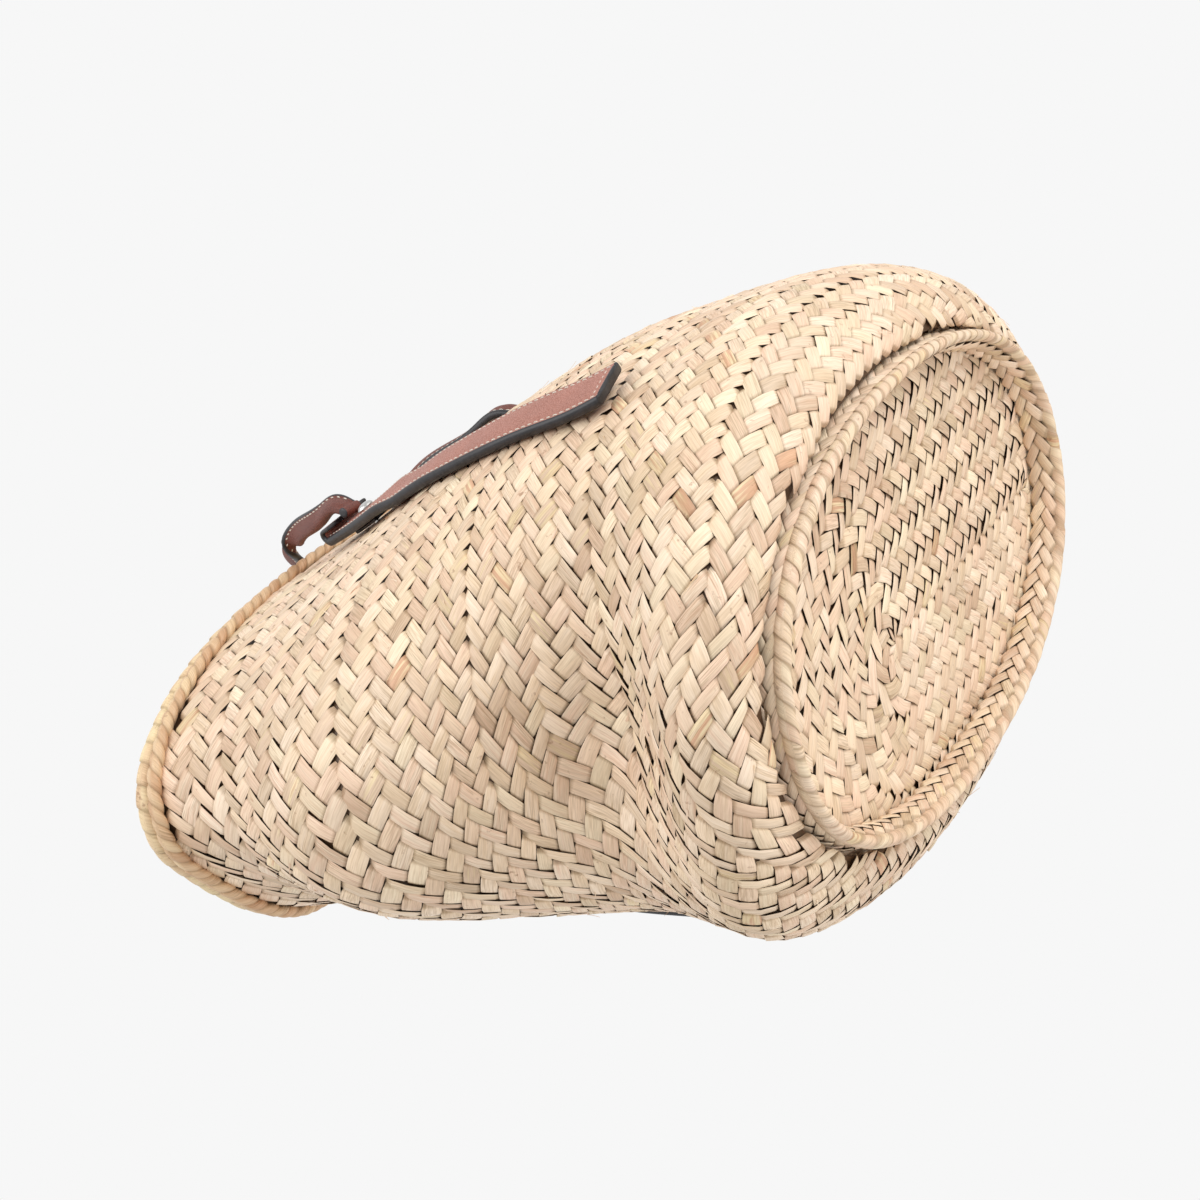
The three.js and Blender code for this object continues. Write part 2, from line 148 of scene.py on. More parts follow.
def run_of(line: Array) -> Array:
    """Distance from the start of a line of points to each of them."""
    return np.concatenate([[0.0], np.cumsum(np.linalg.norm(np.diff(line, axis=0), axis=1))])


def each(values: Array) -> Array:
    """Shape one value a leaf so that it meets the rows and columns of the leaf's points."""
    return values[:, None, None]


def copied(faces: Array, count: int, points: int) -> Array:
    """Repeat the faces of one shape for a count of copies with that many points each."""
    return (faces[None] + (np.arange(count) * points)[:, None, None]).reshape(-1, faces.shape[1])


def outward(points: Array, faces: Array, tested: int, out: Array) -> Array:
    """Wind faces so that they look out.

    Args:
        points: Positions, one a row.
        faces: Corner indices, one row a face.
        tested: Number of the face that is looked at.
        out: Direction that this face has to look in.

    Returns:
        The faces, all turned over where that one looked in.
    """
    p = points[faces[tested]]
    return faces[:, ::-1] if np.dot(np.cross(p[1] - p[0], p[3] - p[0]), out) < 0 else faces


def oval(angle: Array, half: Sequence[float], n: Array) -> tuple[Array, Array]:
    """X and Y of a superellipse with the given half sizes and exponent."""
    return half[0] * power(np.cos(angle), n), half[1] * power(np.sin(angle), n)


@dataclass(frozen=True)
class SoftPlace:
    """A bulge or dent of the wall, in millimetres and radians."""

    size: float
    angle: float
    spread: float
    height: float
    tall: float


@dataclass(frozen=True)
class BodyShape:
    """Outer face of the woven body, in millimetres, with the same sizes as the CAD part."""

    mouth_height: float = 288.0
    belly_height: float = 49.0
    wall_start: float = 8.0
    wall_thickness: float = 5.0
    ring_half: tuple[float, float] = (146.0, 84.0)
    ring_power: float = 2.2
    belly_half: tuple[float, float] = (181.0, 115.0)
    belly_power: float = 1.95
    mouth_power: float = 2.25
    half_lengths: tuple[float, ...] = (181.0, 161.0, 163.0, 161.0, 168.0)
    half_widths: tuple[float, ...] = (115.0, 111.0, 95.5, 69.5, 49.5)
    drift_x: tuple[float, float] = (7.6, 17.8)
    drift_y: tuple[float, float] = (23.0, 10.0)
    saddle: float = -12.8
    tilt: float = -25.0
    dip: tuple[float, float, float] = (-14.5, 2.17, 0.45)
    soft_start: float = 20.0
    soft: tuple[SoftPlace, ...] = (
        SoftPlace(-45.5, 3.2, 0.55, 74.6, 38.0),
        SoftPlace(22.5, 3.03, 0.6, 184.0, 55.0),
        SoftPlace(28.7, 2.09, 0.45, 288.0, 70.0),
        SoftPlace(6.5, 2.52, 0.4, 35.0, 35.0),
    )

    def point(self, angle: Array, level: Array) -> Array:
        """Find points of the outer face.

        Args:
            angle: Angle round the body, 0 at +X.
            level: 0 at the foot ring, mouth_height at the rim.

        Returns:
            Positions in millimetres, on the last axis.
        """
        angle, level = np.broadcast_arrays(np.asarray(angle, float), np.asarray(level, float))
        corner = level < self.belly_height
        t = (level - self.belly_height) / (self.mouth_height - self.belly_height)
        t = np.where(corner, 0.0, t)
        share = np.clip(level / self.belly_height, 0, 1)
        turn = np.sqrt(np.clip(1 - (1 - share) ** 2, 0, 1))
        curves = (self.half_lengths, self.half_widths)
        a, b = (
            np.where(corner, ring + (belly - ring) * turn, profile(halves, t))
            for ring, belly, halves in zip(self.ring_half, self.belly_half, curves)
        )
        n = np.where(
            corner,
            self.ring_power + (self.belly_power - self.ring_power) * share,
            self.belly_power + (self.mouth_power - self.belly_power) * t,
        )
        soft = np.zeros_like(level)
        for s in self.soft:
            reach = (wrap(angle - s.angle) / s.spread) ** 2 + ((level - s.height) / s.tall) ** 2
            soft = soft + s.size * np.exp(-reach)
        soft = soft * np.minimum(level / self.soft_start, 1)
        size, middle, spread = self.dip
        rise = (
            self.saddle * np.cos(2 * angle)
            + self.tilt * np.cos(angle)
            + size * np.exp(-((wrap(angle - middle) / spread) ** 2))
        )
        low = self.wall_start + (self.belly_height - self.wall_start) * share
        x, y = oval(angle, (a + soft, b + soft), n)
        x = x + self.drift_x[0] * t + self.drift_x[1] * t * t
        y = y + self.drift_y[0] * t + self.drift_y[1] * t * t
        return np.stack([x, y, np.where(corner, low, level) + t * t * rise], axis=-1)

    def frame(self, angle: Array, level: Array) -> tuple[Array, Array]:
        """Find the point and the outward direction at places of the outer face."""
        margin, turn, step = 0.6, 0.01, 0.5
        near = np.clip(level, margin, self.mouth_height - margin)
        around = self.point(angle + turn, near) - self.point(angle - turn, near)
        up = self.point(angle, near + step) - self.point(angle, near - step)
        return self.point(angle, level), unit(np.cross(unit(around), unit(up)))


class WallMap:
    """The outer face of the wall by angle and by distance down from the rim, in millimetres."""

    STEPS_ROUND = 720
    STEPS_CORNER = 40
    STEPS_WALL = 240

    def __init__(self, shape: BodyShape, sink: float = 0.0, inward: bool = False) -> None:
        """Measure the wall once, on a fine grid.

        Args:
            shape: The body.
            sink: How far under the outer face this map lies.
            inward: True where the map is seen from inside the basket.
        """
        self.angles = np.linspace(0, TURN, self.STEPS_ROUND + 1)
        low = shape.belly_height * (1 - np.cos(np.linspace(0, np.pi / 2, self.STEPS_CORNER)))
        high = np.linspace(shape.belly_height, shape.mouth_height, self.STEPS_WALL)[1:]
        level = np.concatenate([low, high])[::-1]
        grid = shape.point(self.angles[:, None], level[None, :])
        arc = np.array([run_of(line) for line in grid])
        self.length = arc[:, -1]
        depth = np.arange(int(self.length.max()) + 3, dtype=float)
        lines = [[np.interp(depth, run, row) for row in line.T] for run, line in zip(arc, grid)]
        self.points = np.moveaxis(np.array(lines), 1, -1)
        ring = self.points[:-1]
        around = np.roll(ring, -1, axis=0) - np.roll(ring, 1, axis=0)
        normal = unit(np.cross(np.gradient(ring, axis=1), around))
        last = np.minimum(self.length[:-1].astype(int) - 2, len(depth) - 1)
        for i, stop in enumerate(last):
            normal[i, stop:] = normal[i, stop]
        self.normals = np.concatenate([normal, normal[:1]])
        self.points = self.points - self.normals * sink
        if inward:
            self.normals = -self.normals

    def place(self, angle: Array, depth: Array) -> tuple[Array, Array]:
        """Read points and directions off the map.

        Args:
            angle: Angle round the body.
            depth: Distance down from the rim along the wall.

        Returns:
            Positions in millimetres and unit directions out of the surface.
        """
        fa = (np.asarray(angle) % TURN) / TURN * self.STEPS_ROUND
        fd = np.clip(depth, 0, self.points.shape[1] - 1.001)
        i, j = fa.astype(int) % self.STEPS_ROUND, fd.astype(int)
        u, v = (fa - np.floor(fa))[..., None], (fd - j)[..., None]
        found = []
        for table in (self.points, self.normals):
            top = table[i, j] * (1 - u) + table[i + 1, j] * u
            low = table[i, j + 1] * (1 - u) + table[i + 1, j + 1] * u
            found.append(top * (1 - v) + low * v)
        return found[0], unit(found[1])

    def reach(self, angle: Array) -> Array:
        """Length of the wall from rim to foot ring at an angle."""
        return np.interp(np.asarray(angle) % TURN, self.angles, self.length)


@dataclass(frozen=True)
class BaseMap:
    """One face of the flat base by place along a course and by distance from the start seam.

    middle is the distance from that seam at which the places along a course are measured.
    """

    height: float
    upward: bool
    middle: Array | float = 0.0
    seam_centre: tuple[float, float] = (49.4, 15.6)
    seam_half: float = 75.7

    def place(self, along: Array, depth: Array) -> tuple[Array, Array]:
        """Follow the flat oval spiral.

        Args:
            along: Distance along the course.
            depth: Distance from the start seam.

        Returns:
            Positions in millimetres and unit directions out of the face.
        """
        straight = 2 * self.seam_half
        arc = np.pi * self.middle
        a = np.asarray(along) % (2 * straight + 2 * arc)
        turn = np.clip((a - straight) / arc, 0, 1) + np.clip((a - 2 * straight - arc) / arc, 0, 1)
        phi = -np.pi / 2 - turn * np.pi
        run = np.clip(a, 0, straight) - np.clip(a - straight - arc, 0, straight)
        x = self.seam_centre[0] + self.seam_half - run + np.cos(phi) * depth
        y = self.seam_centre[1] + np.sin(phi) * depth
        points = np.stack([x, y, np.full_like(x, self.height)], axis=-1)
        normals = np.zeros_like(points)
        normals[..., 2] = 1.0 if self.upward else -1.0
        return points, normals


@dataclass
class Leaves:
    """Centres and sizes of a set of leaf floats that lie on one map."""

    along: Array
    depth: Array
    pitch: Array
    width: Array
    slope: Array
    lean: Array
    seam: Array
    tone: Array

    @classmethod
    def joined(cls, parts: Sequence["Leaves"]) -> "Leaves":
        """Put sets of floats together in their order."""
        return cls(*(np.concatenate(values) for values in zip(*(vars(part).values() for part in parts))))

    def chosen(self, pick: Array) -> "Leaves":
        """Take the floats with the given numbers, or those that are marked True."""
        return Leaves(*(values[pick] for values in vars(self).values()))

    def spots(self, run: Array, off: Array) -> tuple[Array, Array, Array]:
        """Turn places on the floats into places on the map.

        Args:
            run: Place along each float, as a share of its diagonal.
            off: Place across it.

        Returns:
            Along and depth on the map, and the place down the column as a share of its width.
        """
        lean = each(self.lean)
        u, v = (run * lean + off) / ROOT2, (run - lean * off) / ROOT2
        step = u * each(self.pitch)
        depth = each(self.depth) + v * each(self.width) + each(self.slope) * step
        return each(self.along) + step, depth, v


@dataclass(frozen=True)
class FloatForm:
    """Form of one leaf float between the leaves that it dives under, in millimetres.

    arch is the rise of its middle and hardness how flat that stays, crown the swell across it,
    skirt the turn down of its long edges, tuck how deep its ends dive, tilt how far one long edge
    lies over the next leaf, seat the level of its ends against the surface, waist the share of
    its width that the ends lose where they are gripped, and seam_dip how deep it sinks at a sewn
    seam. The spreads are those of hand work. The shades go into the leaf attribute: shade is each
    float's random tone, and the end and edge shades are painted shade, darker where the ends dive
    under the crossing leaves and along the long edges.
    """

    arch: float = 0.72
    hardness: float = 3.6
    crown: float = 0.1
    skirt: float = 0.16
    tuck: float = 0.8
    tilt: float = 0.18
    seat: float = -0.72
    waist: float = 0.1
    seam_dip: float = 0.8
    half_width: float = 3.3
    half_length: float = 6.5
    lengths: tuple[float, ...] = (-1.2, -0.99, -0.78, 0.0, 0.78, 0.99, 1.2)
    widths: tuple[float, ...] = (-1.0, -0.92, 0.0, 0.92, 1.0)
    rim: float = 0.95
    fit: tuple[float, float] = (0.97, 1.04)
    turn_spread: float = 0.035
    lift_spread: float = 0.12
    tip_spread: float = 0.14
    shade: tuple[float, float] = (0.62, 0.1)
    end_shade: float = 0.42
    edge_shade: float = 0.1


class MeshMaker:
    """Turns arrays of points and faces into Blender objects that stand in the row frame."""

    def __init__(self, origin: Array) -> None:
        """Keep the place of the foot ring's centre in the row frame.

        Args:
            origin: Offset in millimetres that is added to every point.
        """
        self.origin = np.asarray(origin, float)

    def metres(self, points: Array) -> Array:
        """Move points from the body's own frame to the row frame, in metres."""
        return (np.asarray(points, float).reshape(-1, 3) + self.origin) * MM

    def build(
        self,
        name: str,
        points: Array,
        faces: Array,
        finishes: Sequence[Material],
        slots: Array | None = None,
        leaf: Array | None = None,
        uv: Array | None = None,
    ) -> Object:
        """Make one object.

        Args:
            name: Piece name.
            points: Positions in millimetres.
            faces: Corner indices, one row a face; a row of 4 may repeat its last index.
            finishes: Materials in slot order.
            slots: Material slot of each face.
            leaf: Tone, shade and seed of each point, or of each shape that points share.
            uv: Place on the leaf or strap of each point, in millimetres.

        Returns:
            The object, linked to the scene.
        """
        mesh = bpy.data.meshes.new(name)
        rows = [list(dict.fromkeys(row)) for row in np.asarray(faces).tolist()]
        mesh.from_pydata(self.metres(points).tolist(), [], rows)
        for finish in finishes:
            mesh.materials.append(finish)
        if slots is not None:
            mesh.polygons.foreach_set("material_index", np.asarray(slots, np.int32))
        corner = np.empty(len(mesh.loops), np.int32)
        mesh.loops.foreach_get("vertex_index", corner)
        if leaf is not None:
            data = mesh.attributes.new("leaf", "FLOAT_COLOR", "POINT")
            four = np.ones((len(mesh.vertices), 4), np.float32)
            four[:, :3] = np.broadcast_to(leaf, np.shape(points)).reshape(-1, 3)
            data.data.foreach_set("color", four.ravel())
        if uv is not None:
            layer = mesh.uv_layers.new(name="along")
            places = np.broadcast_to(uv, (*np.shape(points)[:-1], 2)).reshape(-1, 2)
            layer.data.foreach_set("uv", places.astype(np.float32)[corner].ravel())
        mesh.polygons.foreach_set("use_smooth", np.ones(len(mesh.polygons), bool))
        mesh.update()
        piece = bpy.data.objects.new(name, mesh)
        bpy.context.scene.collection.objects.link(piece)
        return piece


def grid_faces(rows: int, columns: int, around: bool = False, closed: bool = False) -> Array:
    """Number the quads of a grid of points.

    Args:
        rows: Rows of points.
        columns: Points in a row.
        around: True where each row closes on itself.
        closed: True where the last row joins the first.

    Returns:
        One row of four indices for each quad.
    """
    i = np.arange(rows if closed else rows - 1)[:, None]
    j = np.arange(columns if around else columns - 1)[None, :]
    k, after = (j + 1) % columns, (i + 1) % rows
    quads = np.stack([i * columns + j, after * columns + j, after * columns + k, i * columns + k], -1)
    return quads.reshape(-1, 4)


class Plaiter:
    """Lays leaf floats on a map in the herringbone of a flat plait."""

    def __init__(self, maker: MeshMaker, rng: np.random.Generator) -> None:
        """Keep the mesh maker and the one stream of random numbers."""
        self.maker = maker
        self.rng = rng

    def strands(self, count: int) -> dict[float, Array]:
        """Choose a tone for every strand of a strip, for the two ways that strands lean.

        Args:
            count: Floats in one column of the strip.

        Returns:
            A tone from 0 to 1 for each strand, by lean.
        """
        return {lean: np.clip(self.rng.normal(0.42, 0.22, count), 0, 1) for lean in (-1.0, 1.0)}

    def column(
        self,
        strands: dict[float, Array],
        number: int,
        along: Array,
        depth: Array,
        pitch: Array,
        width: Array,
        slope: Array = 0.0,
        seam: float = 0.0,
    ) -> Leaves:
        """Make the floats of one column of a strip, each in the tone of its strand.

        Args:
            strands: Tones of the strands, by lean.
            number: Number of the column in its strip.
            along: Middle of each float along the map.
            depth: Middle of each float down the map.
            pitch: Distance from one float to the next.
            width: Width of the column.
            slope: How far the column climbs for each step along it.
            seam: -1 or 1 where the column's upper or lower edge is sewn.

        Returns:
            The floats.
        """
        lean = 1.0 if number % 2 else -1.0
        tone = np.roll(strands[lean], int(lean) * number)
        tone = np.clip(tone + self.rng.normal(0, 0.09, len(tone)), 0, 1)
        return Leaves(*np.broadcast_arrays(along, depth, pitch, width, slope, lean, seam, tone))

    def lay(
        self,
        name: str,
        place: Surface,
        leaves: Leaves,
        form: FloatForm,
        finish: Material,
    ) -> Object:
        """Build all floats of one piece.

        Args:
            name: Piece name.
            place: Gives position and outward direction from along and depth.
            leaves: The floats.
            form: Form of a float.
            finish: The leaf material.

        Returns:
            The finished object.
        """
        count = len(leaves.along)
        t = np.array(form.lengths)[None, :, None]
        x = np.array(form.widths)[None, None, :]
        far, beyond, rim = np.abs(t), np.abs(t) > 1, np.abs(x) > form.rim
        turn = each(self.rng.normal(0, form.turn_spread, count))
        # the ends are gripped by the leaves that cross them, and stay as narrow under them
        gripped = 1 - form.waist * np.minimum(far, 1.05) ** 7
        fit = each(self.rng.uniform(*form.fit, count)) * gripped
        half_length, half_width = math.sqrt(0.5), math.sqrt(0.125)
        run = t * half_length * np.ones_like(x) - turn * x * half_width
        off = x * half_width * fit + turn * t * half_length
        along, depth, down = leaves.spots(run, off)
        dive = -form.tuck * (far - 1) / 0.2
        height = np.where(beyond, dive, form.arch * (1 - far**form.hardness))
        lift = each(self.rng.normal(0, form.lift_spread, count))
        tip = each(self.rng.normal(0, form.tip_spread, count))
        height = height + form.crown * (1 - x * x) - form.skirt * rim + (tip + form.tilt) * x
        # the part of a float next to a sewn edge dips under the thread
        seam = np.clip(each(leaves.seam) * down * 2 - 0.55, 0, 1)
        height = height + np.where(beyond, 0, lift) + form.seat - form.seam_dip * seam
        points, normals = place(along, depth)
        points = points + normals * height[..., None]
        quads = grid_faces(*points.shape[1:3])
        faces = copied(quads, count, points[0, ..., 0].size)
        faces = outward(points.reshape(-1, 3), faces, len(quads) // 2, normals[0, 0, 0])
        shade = each(self.rng.normal(*form.shade, count))
        # painted shade: the ends darken where they dive under the crossing leaves, and the long edges darken
        # where they turn down
        shade = shade - form.end_shade * np.clip(far * 5 - 4, 0, 1) - form.edge_shade * rim
        marks = (each(leaves.tone), np.clip(shade, 0, 1), each(self.rng.random(count)))
        leaf = np.stack(np.broadcast_arrays(*marks), axis=-1)
        uv = np.stack(np.broadcast_arrays(x * form.half_width, t * form.half_length), axis=-1)
        return self.maker.build(name, points, faces, [finish], leaf=leaf, uv=uv)


@dataclass(frozen=True)
class PlaitPlan:
    """Run of the plait on the wall: depths of its rows at the near end, and its climb."""

    depths: tuple[float, ...] = (17.7, 56.6, 96.8, 137.1, 154.0, 169.1, 192.3, 216.2, 249.6, 306.2, 364.0)
    rows: tuple[float, ...] = (-0.9, 1.0, 3.0, 5.0, 6.0, 7.0, 9.0, 11.0, 13.0, 17.0, 21.1)
    row_height: tuple[float, float] = (20.0, 14.1)
    rows_per_turn: float = 4.0
    courses: range = range(-2, 7)
    columns: int = 8
    pitch: float = 9.4
    rim_margin: float = 13.0
    foot_margin: float = 1.0

    def depth(self, row: Array, angle: Array) -> Array:
        """Depth under the rim of a row line at an angle."""
        at = np.asarray(row) - self.rows_per_turn * (np.asarray(angle) - np.pi) / TURN
        above = self.depths[0] + (at - self.rows[0]) * self.row_height[0]
        below = self.depths[-1] + (at - self.rows[-1]) * self.row_height[1]
        inside = np.where(at > self.rows[-1], below, np.interp(at, self.rows, self.depths))
        return np.where(at < self.rows[0], above, inside)

    def leaves(self, wall: WallMap, plaiter: Plaiter) -> Leaves:
        """Lay out every float of the wall.

        Args:
            wall: The map that the plait lies on.
            plaiter: Gives the tones.

        Returns:
            The floats, course by course.
        """
        parts = []
        angles = wall.angles
        for course in self.courses:
            first = self.rows_per_turn * course + 1.0
            middle = self.depth(first + 2.0, angles)
            arc = run_of(wall.place(angles, np.clip(middle, 0, wall.reach(angles)))[0])
            count = round(arc[-1] / self.pitch)
            strands = plaiter.strands(count)
            for column in range(self.columns):
                row = first + (column + 0.5) / 2
                share = (np.arange(count) + 0.5 * (column % 2)) / count
                angle = np.interp(share * arc[-1], arc, angles)
                pitch = np.interp(angle, angles, np.gradient(angles, arc)) * arc[-1] / count
                depth = self.depth(row, angle)
                width = self.depth(row + 0.25, angle) - self.depth(row - 0.25, angle)
                slope = -self.rows_per_turn / TURN * 2 * width
                seam = {0: -1.0, self.columns - 1: 1.0}.get(column, 0.0)
                floats = plaiter.column(strands, column, angle, depth, pitch, width, slope, seam)
                keep = (depth > self.rim_margin) & (depth < wall.reach(angle) - self.foot_margin)
                parts.append(floats.chosen(keep))
        return Leaves.joined(parts)


@dataclass(frozen=True)
class RopeForm:
    """Sizes of a wrapped or twisted cord, in millimetres.

    depth is the share that its hollows sink, lap how far one lap stands over the next, wander how
    far the laps stray, and leaf_width the width of the leaf it is wrapped with.
    """

    half: tuple[float, float]
    strands: int
    spacing: float
    depth: float
    lap: float = 0.04
    wander: float = 0.12
    sides: int = 20
    steps: tuple[float, ...] = (0.02, 0.1, 0.25, 0.42, 0.6, 0.78, 0.91, 0.98)
    size_spread: float = 0.03
    leaf_width: float = 6.4


class RopeMaker:
    """Makes closed cords of wrapped or twisted leaf."""

    def __init__(self, maker: MeshMaker, rng: np.random.Generator) -> None:
        """Keep the mesh maker and the stream of random numbers."""
        self.maker = maker
        self.rng = rng

    def make(
        self,
        name: str,
        centre: Line,
        form: RopeForm,
        finish: Material,
        tones: tuple[float, float],
    ) -> Object:
        """Build one cord along a closed line; its mesh rows follow the laps of leaf.

        Args:
            name: Piece name.
            centre: Gives centre points, side and top directions at angles.
            form: Sizes of the cord.
            finish: The leaf material.
            tones: Middle and spread of the leaf tone.

        Returns:
            The finished object.
        """
        fine = np.linspace(0, TURN, LINE_STEPS + 1)
        arc = run_of(centre(fine)[0])
        laps = round(arc[-1] / form.spacing)
        rows, sides, across = laps * len(form.steps), form.sides, len(form.steps)
        lap = np.repeat(np.arange(laps), across)
        w = np.tile(form.steps, laps)
        around = np.arange(sides) / sides
        wander = self.rng.normal(0, form.wander, laps)
        phase = (lap + w)[:, None] + wander[lap][:, None] * np.sin(around * np.pi)[None] ** 2
        along = ((form.strands * around[None] - phase) / laps * arc[-1]) % arc[-1]
        points, side, top = centre(np.interp(along, arc, fine))
        lobe = 1 - np.abs(2 * w - 1) ** 2.6
        size = 1 + self.rng.normal(0, form.size_spread, laps)[lap]
        scale = ((1 - form.depth + form.depth * lobe + form.lap * (w - 0.5)) * size)[:, None, None]
        turn = (TURN * around)[None, :, None]
        ring = points + side * np.cos(turn) * form.half[0] * scale
        ring = ring + top * np.sin(turn) * form.half[1] * scale
        tone = np.clip(self.rng.normal(*tones, laps), 0, 1)[lap]
        # painted shade: the hollows between the laps of leaf are darker
        shade = np.clip(0.62 - 0.4 * (1 - lobe) ** 2, 0, 1)
        leaf = np.stack([tone, shade, self.rng.random(laps)[lap]], axis=-1)[:, None]
        length = TURN * np.mean(form.half)
        on_leaf = (w[:, None] - 0.5) * form.leaf_width
        uv = np.stack(np.broadcast_arrays(on_leaf, around[None] * length), axis=-1)
        r, c = np.arange(rows)[:, None], np.arange(sides)[None]
        # the last side joins the first one a number of laps back, as the leaf winds on
        back = np.where(c + 1 == sides, form.strands * across, 0)
        after = (c + 1) % sides
        low, high = (r - back) % rows * sides + after, (r + 1 - back) % rows * sides + after
        quads = np.stack([r * sides + c, low, high, (r + 1) % rows * sides + c], axis=-1).reshape(-1, 4)
        quads = outward(ring.reshape(-1, 3), quads, 0, ring[0, 0] - points[0, 0])
        return self.maker.build(name, ring, quads, [finish], leaf=leaf, uv=uv)


def feed(tree: Tree, node: bpy.types.Node, links: dict[str | int, object]) -> None:
    """Give inputs of a node their values, or the nodes or sockets that they take them from."""
    for key, value in links.items():
        source = value.outputs[0] if isinstance(value, bpy.types.Node) else value
        if isinstance(source, Socket):
            tree.links.new(source, node.inputs[key])
        else:
            node.inputs[key].default_value = source


def add(
    tree: Tree,
    kind: str,
    links: dict[str | int, object] | None = None,
    stops: Sequence[tuple[float, str]] = (),
    **settings: object,
) -> bpy.types.Node:
    """Add one node to a material.

    Args:
        tree: The node tree.
        kind: Node type without its ShaderNode prefix.
        links: For each input, by name or number, a value or what feeds it.
        stops: Place and colour of each stop of a colour ramp.
        **settings: Properties of the node.

    Returns:
        The node.
    """
    node = tree.nodes.new("ShaderNode" + kind)
    for key, value in settings.items():
        setattr(node, key, value)
    feed(tree, node, links or {})
    if stops:
        bar = node.color_ramp.elements
        bar[0].position, bar[1].position = stops[0][0], stops[-1][0]
        for place, _ in stops[1:-1]:
            bar.new(place)
        for element, (_, code) in zip(bar, stops):
            element.color = linear(code)
    return node


@dataclass(frozen=True)
class Finish:
    """A material: a name and one Principled shader with what feeds it."""

    name: str

    def make(self) -> Material:
        """Build the material."""
        material = bpy.data.materials.new(self.name)
        material.use_nodes = True
        tree = material.node_tree
        place = add(tree, "TexCoord").outputs["Object"]
        feed(tree, tree.nodes["Principled BSDF"], self.inputs(tree, place))
        return material

    def inputs(self, tree: Tree, place: Socket) -> dict[str, object]:
        """Make the pattern nodes.

        Args:
            tree: The node tree.
            place: Position on the object, in metres.

        Returns:
            What each input of the shader gets.
        """
        raise NotImplementedError


@dataclass(frozen=True)
class LeafFinish(Finish):
    """Palm leaf: split by hand, sun dried and plaited. Long fibres, pale and slightly waxy.

    Neighbouring leaves differ in tone, and brown specks and greyish places are common.
    """

    stops: tuple[tuple[float, str], ...]
    dark: float = 0.0
    roughness: float = 0.52

    def inputs(self, tree: Tree, place: Socket) -> dict[str, object]:
        """Colour each leaf by its marks and by its place along the leaf."""
        mark = add(tree, "Attribute", attribute_name="leaf").outputs["Color"]
        tone, shade, seed = add(tree, "SeparateColor", {0: mark}).outputs
        along = add(tree, "UVMap", uv_map="along")
        offset = add(tree, "Math", {0: seed, 1: 61.0}, operation="MULTIPLY")
        # fibres run the length of the leaf: 0.5 mm fine lines over 2 mm bands
        noises = []
        for scale, detail in (((2.0, 0.11, 1.0), 2.0), ((0.55, 0.05, 1.0), 1.0)):
            spot = add(tree, "Mapping", {0: along, 3: scale})
            drawn = {0: spot, "W": offset, "Scale": 1.0, "Detail": detail}
            noises.append(add(tree, "TexNoise", drawn, noise_dimensions="4D"))
        fibres, bands = noises
        shift = add(tree, "Math", {0: bands, 1: 0.5, 2: -0.25}, operation="MULTIPLY_ADD")
        mixed = add(tree, "Math", {0: tone, 1: shift}, operation="ADD", use_clamp=True)
        colour = add(tree, "ValToRGB", {0: mixed}, self.stops)
        # some leaves are coarse: their lines show more
        coarse = add(tree, "MapRange", {0: seed, 1: 0.55, 2: 1.0, 3: 0.84, 4: 0.6})
        lines = add(tree, "MapRange", {0: fibres, 1: 0.28, 2: 0.6, 3: coarse, 4: 1.08})
        # the shade mark carries each leaf's random tone together with the painted shade at float ends, long
        # edges and cord hollows
        tone_and_painted_shade = add(tree, "MapRange", {0: shade, 1: 0.1, 2: 0.75, 3: 0.52 - self.dark, 4: 1.06 - self.dark})
        level = add(tree, "Math", {0: lines, 1: tone_and_painted_shade}, operation="MULTIPLY")
        # light that bounces between leaves is warm, so what is darker is also browner
        green, blue = (add(tree, "Math", {0: level, 1: more}, operation="POWER") for more in (1.16, 1.4))
        warm = add(tree, "CombineColor", {0: level, 1: green, 2: blue})
        tinted = {0: 1.0, 6: colour, 7: warm}
        colour = add(tree, "Mix", tinted, data_type="RGBA", blend_type="MULTIPLY").outputs[2]
        # brown specks and rubbed spots, 1 to 4 mm
        spots = add(tree, "TexNoise", {0: place, "Scale": 210.0, "Detail": 3.0, "Roughness": 0.6})
        few = add(tree, "MapRange", {0: spots, 1: 0.66, 2: 0.74, 3: 0.0, 4: 0.6})
        specked = {0: few, 6: colour, 7: linear("#8E6244")}
        return {
            "Base Color": add(tree, "Mix", specked, data_type="RGBA", blend_type="MIX").outputs[2],
            "Roughness": self.roughness,
            "Normal": add(tree, "Bump", {"Strength": 0.35, "Distance": 0.0003, "Height": fibres}),
        }


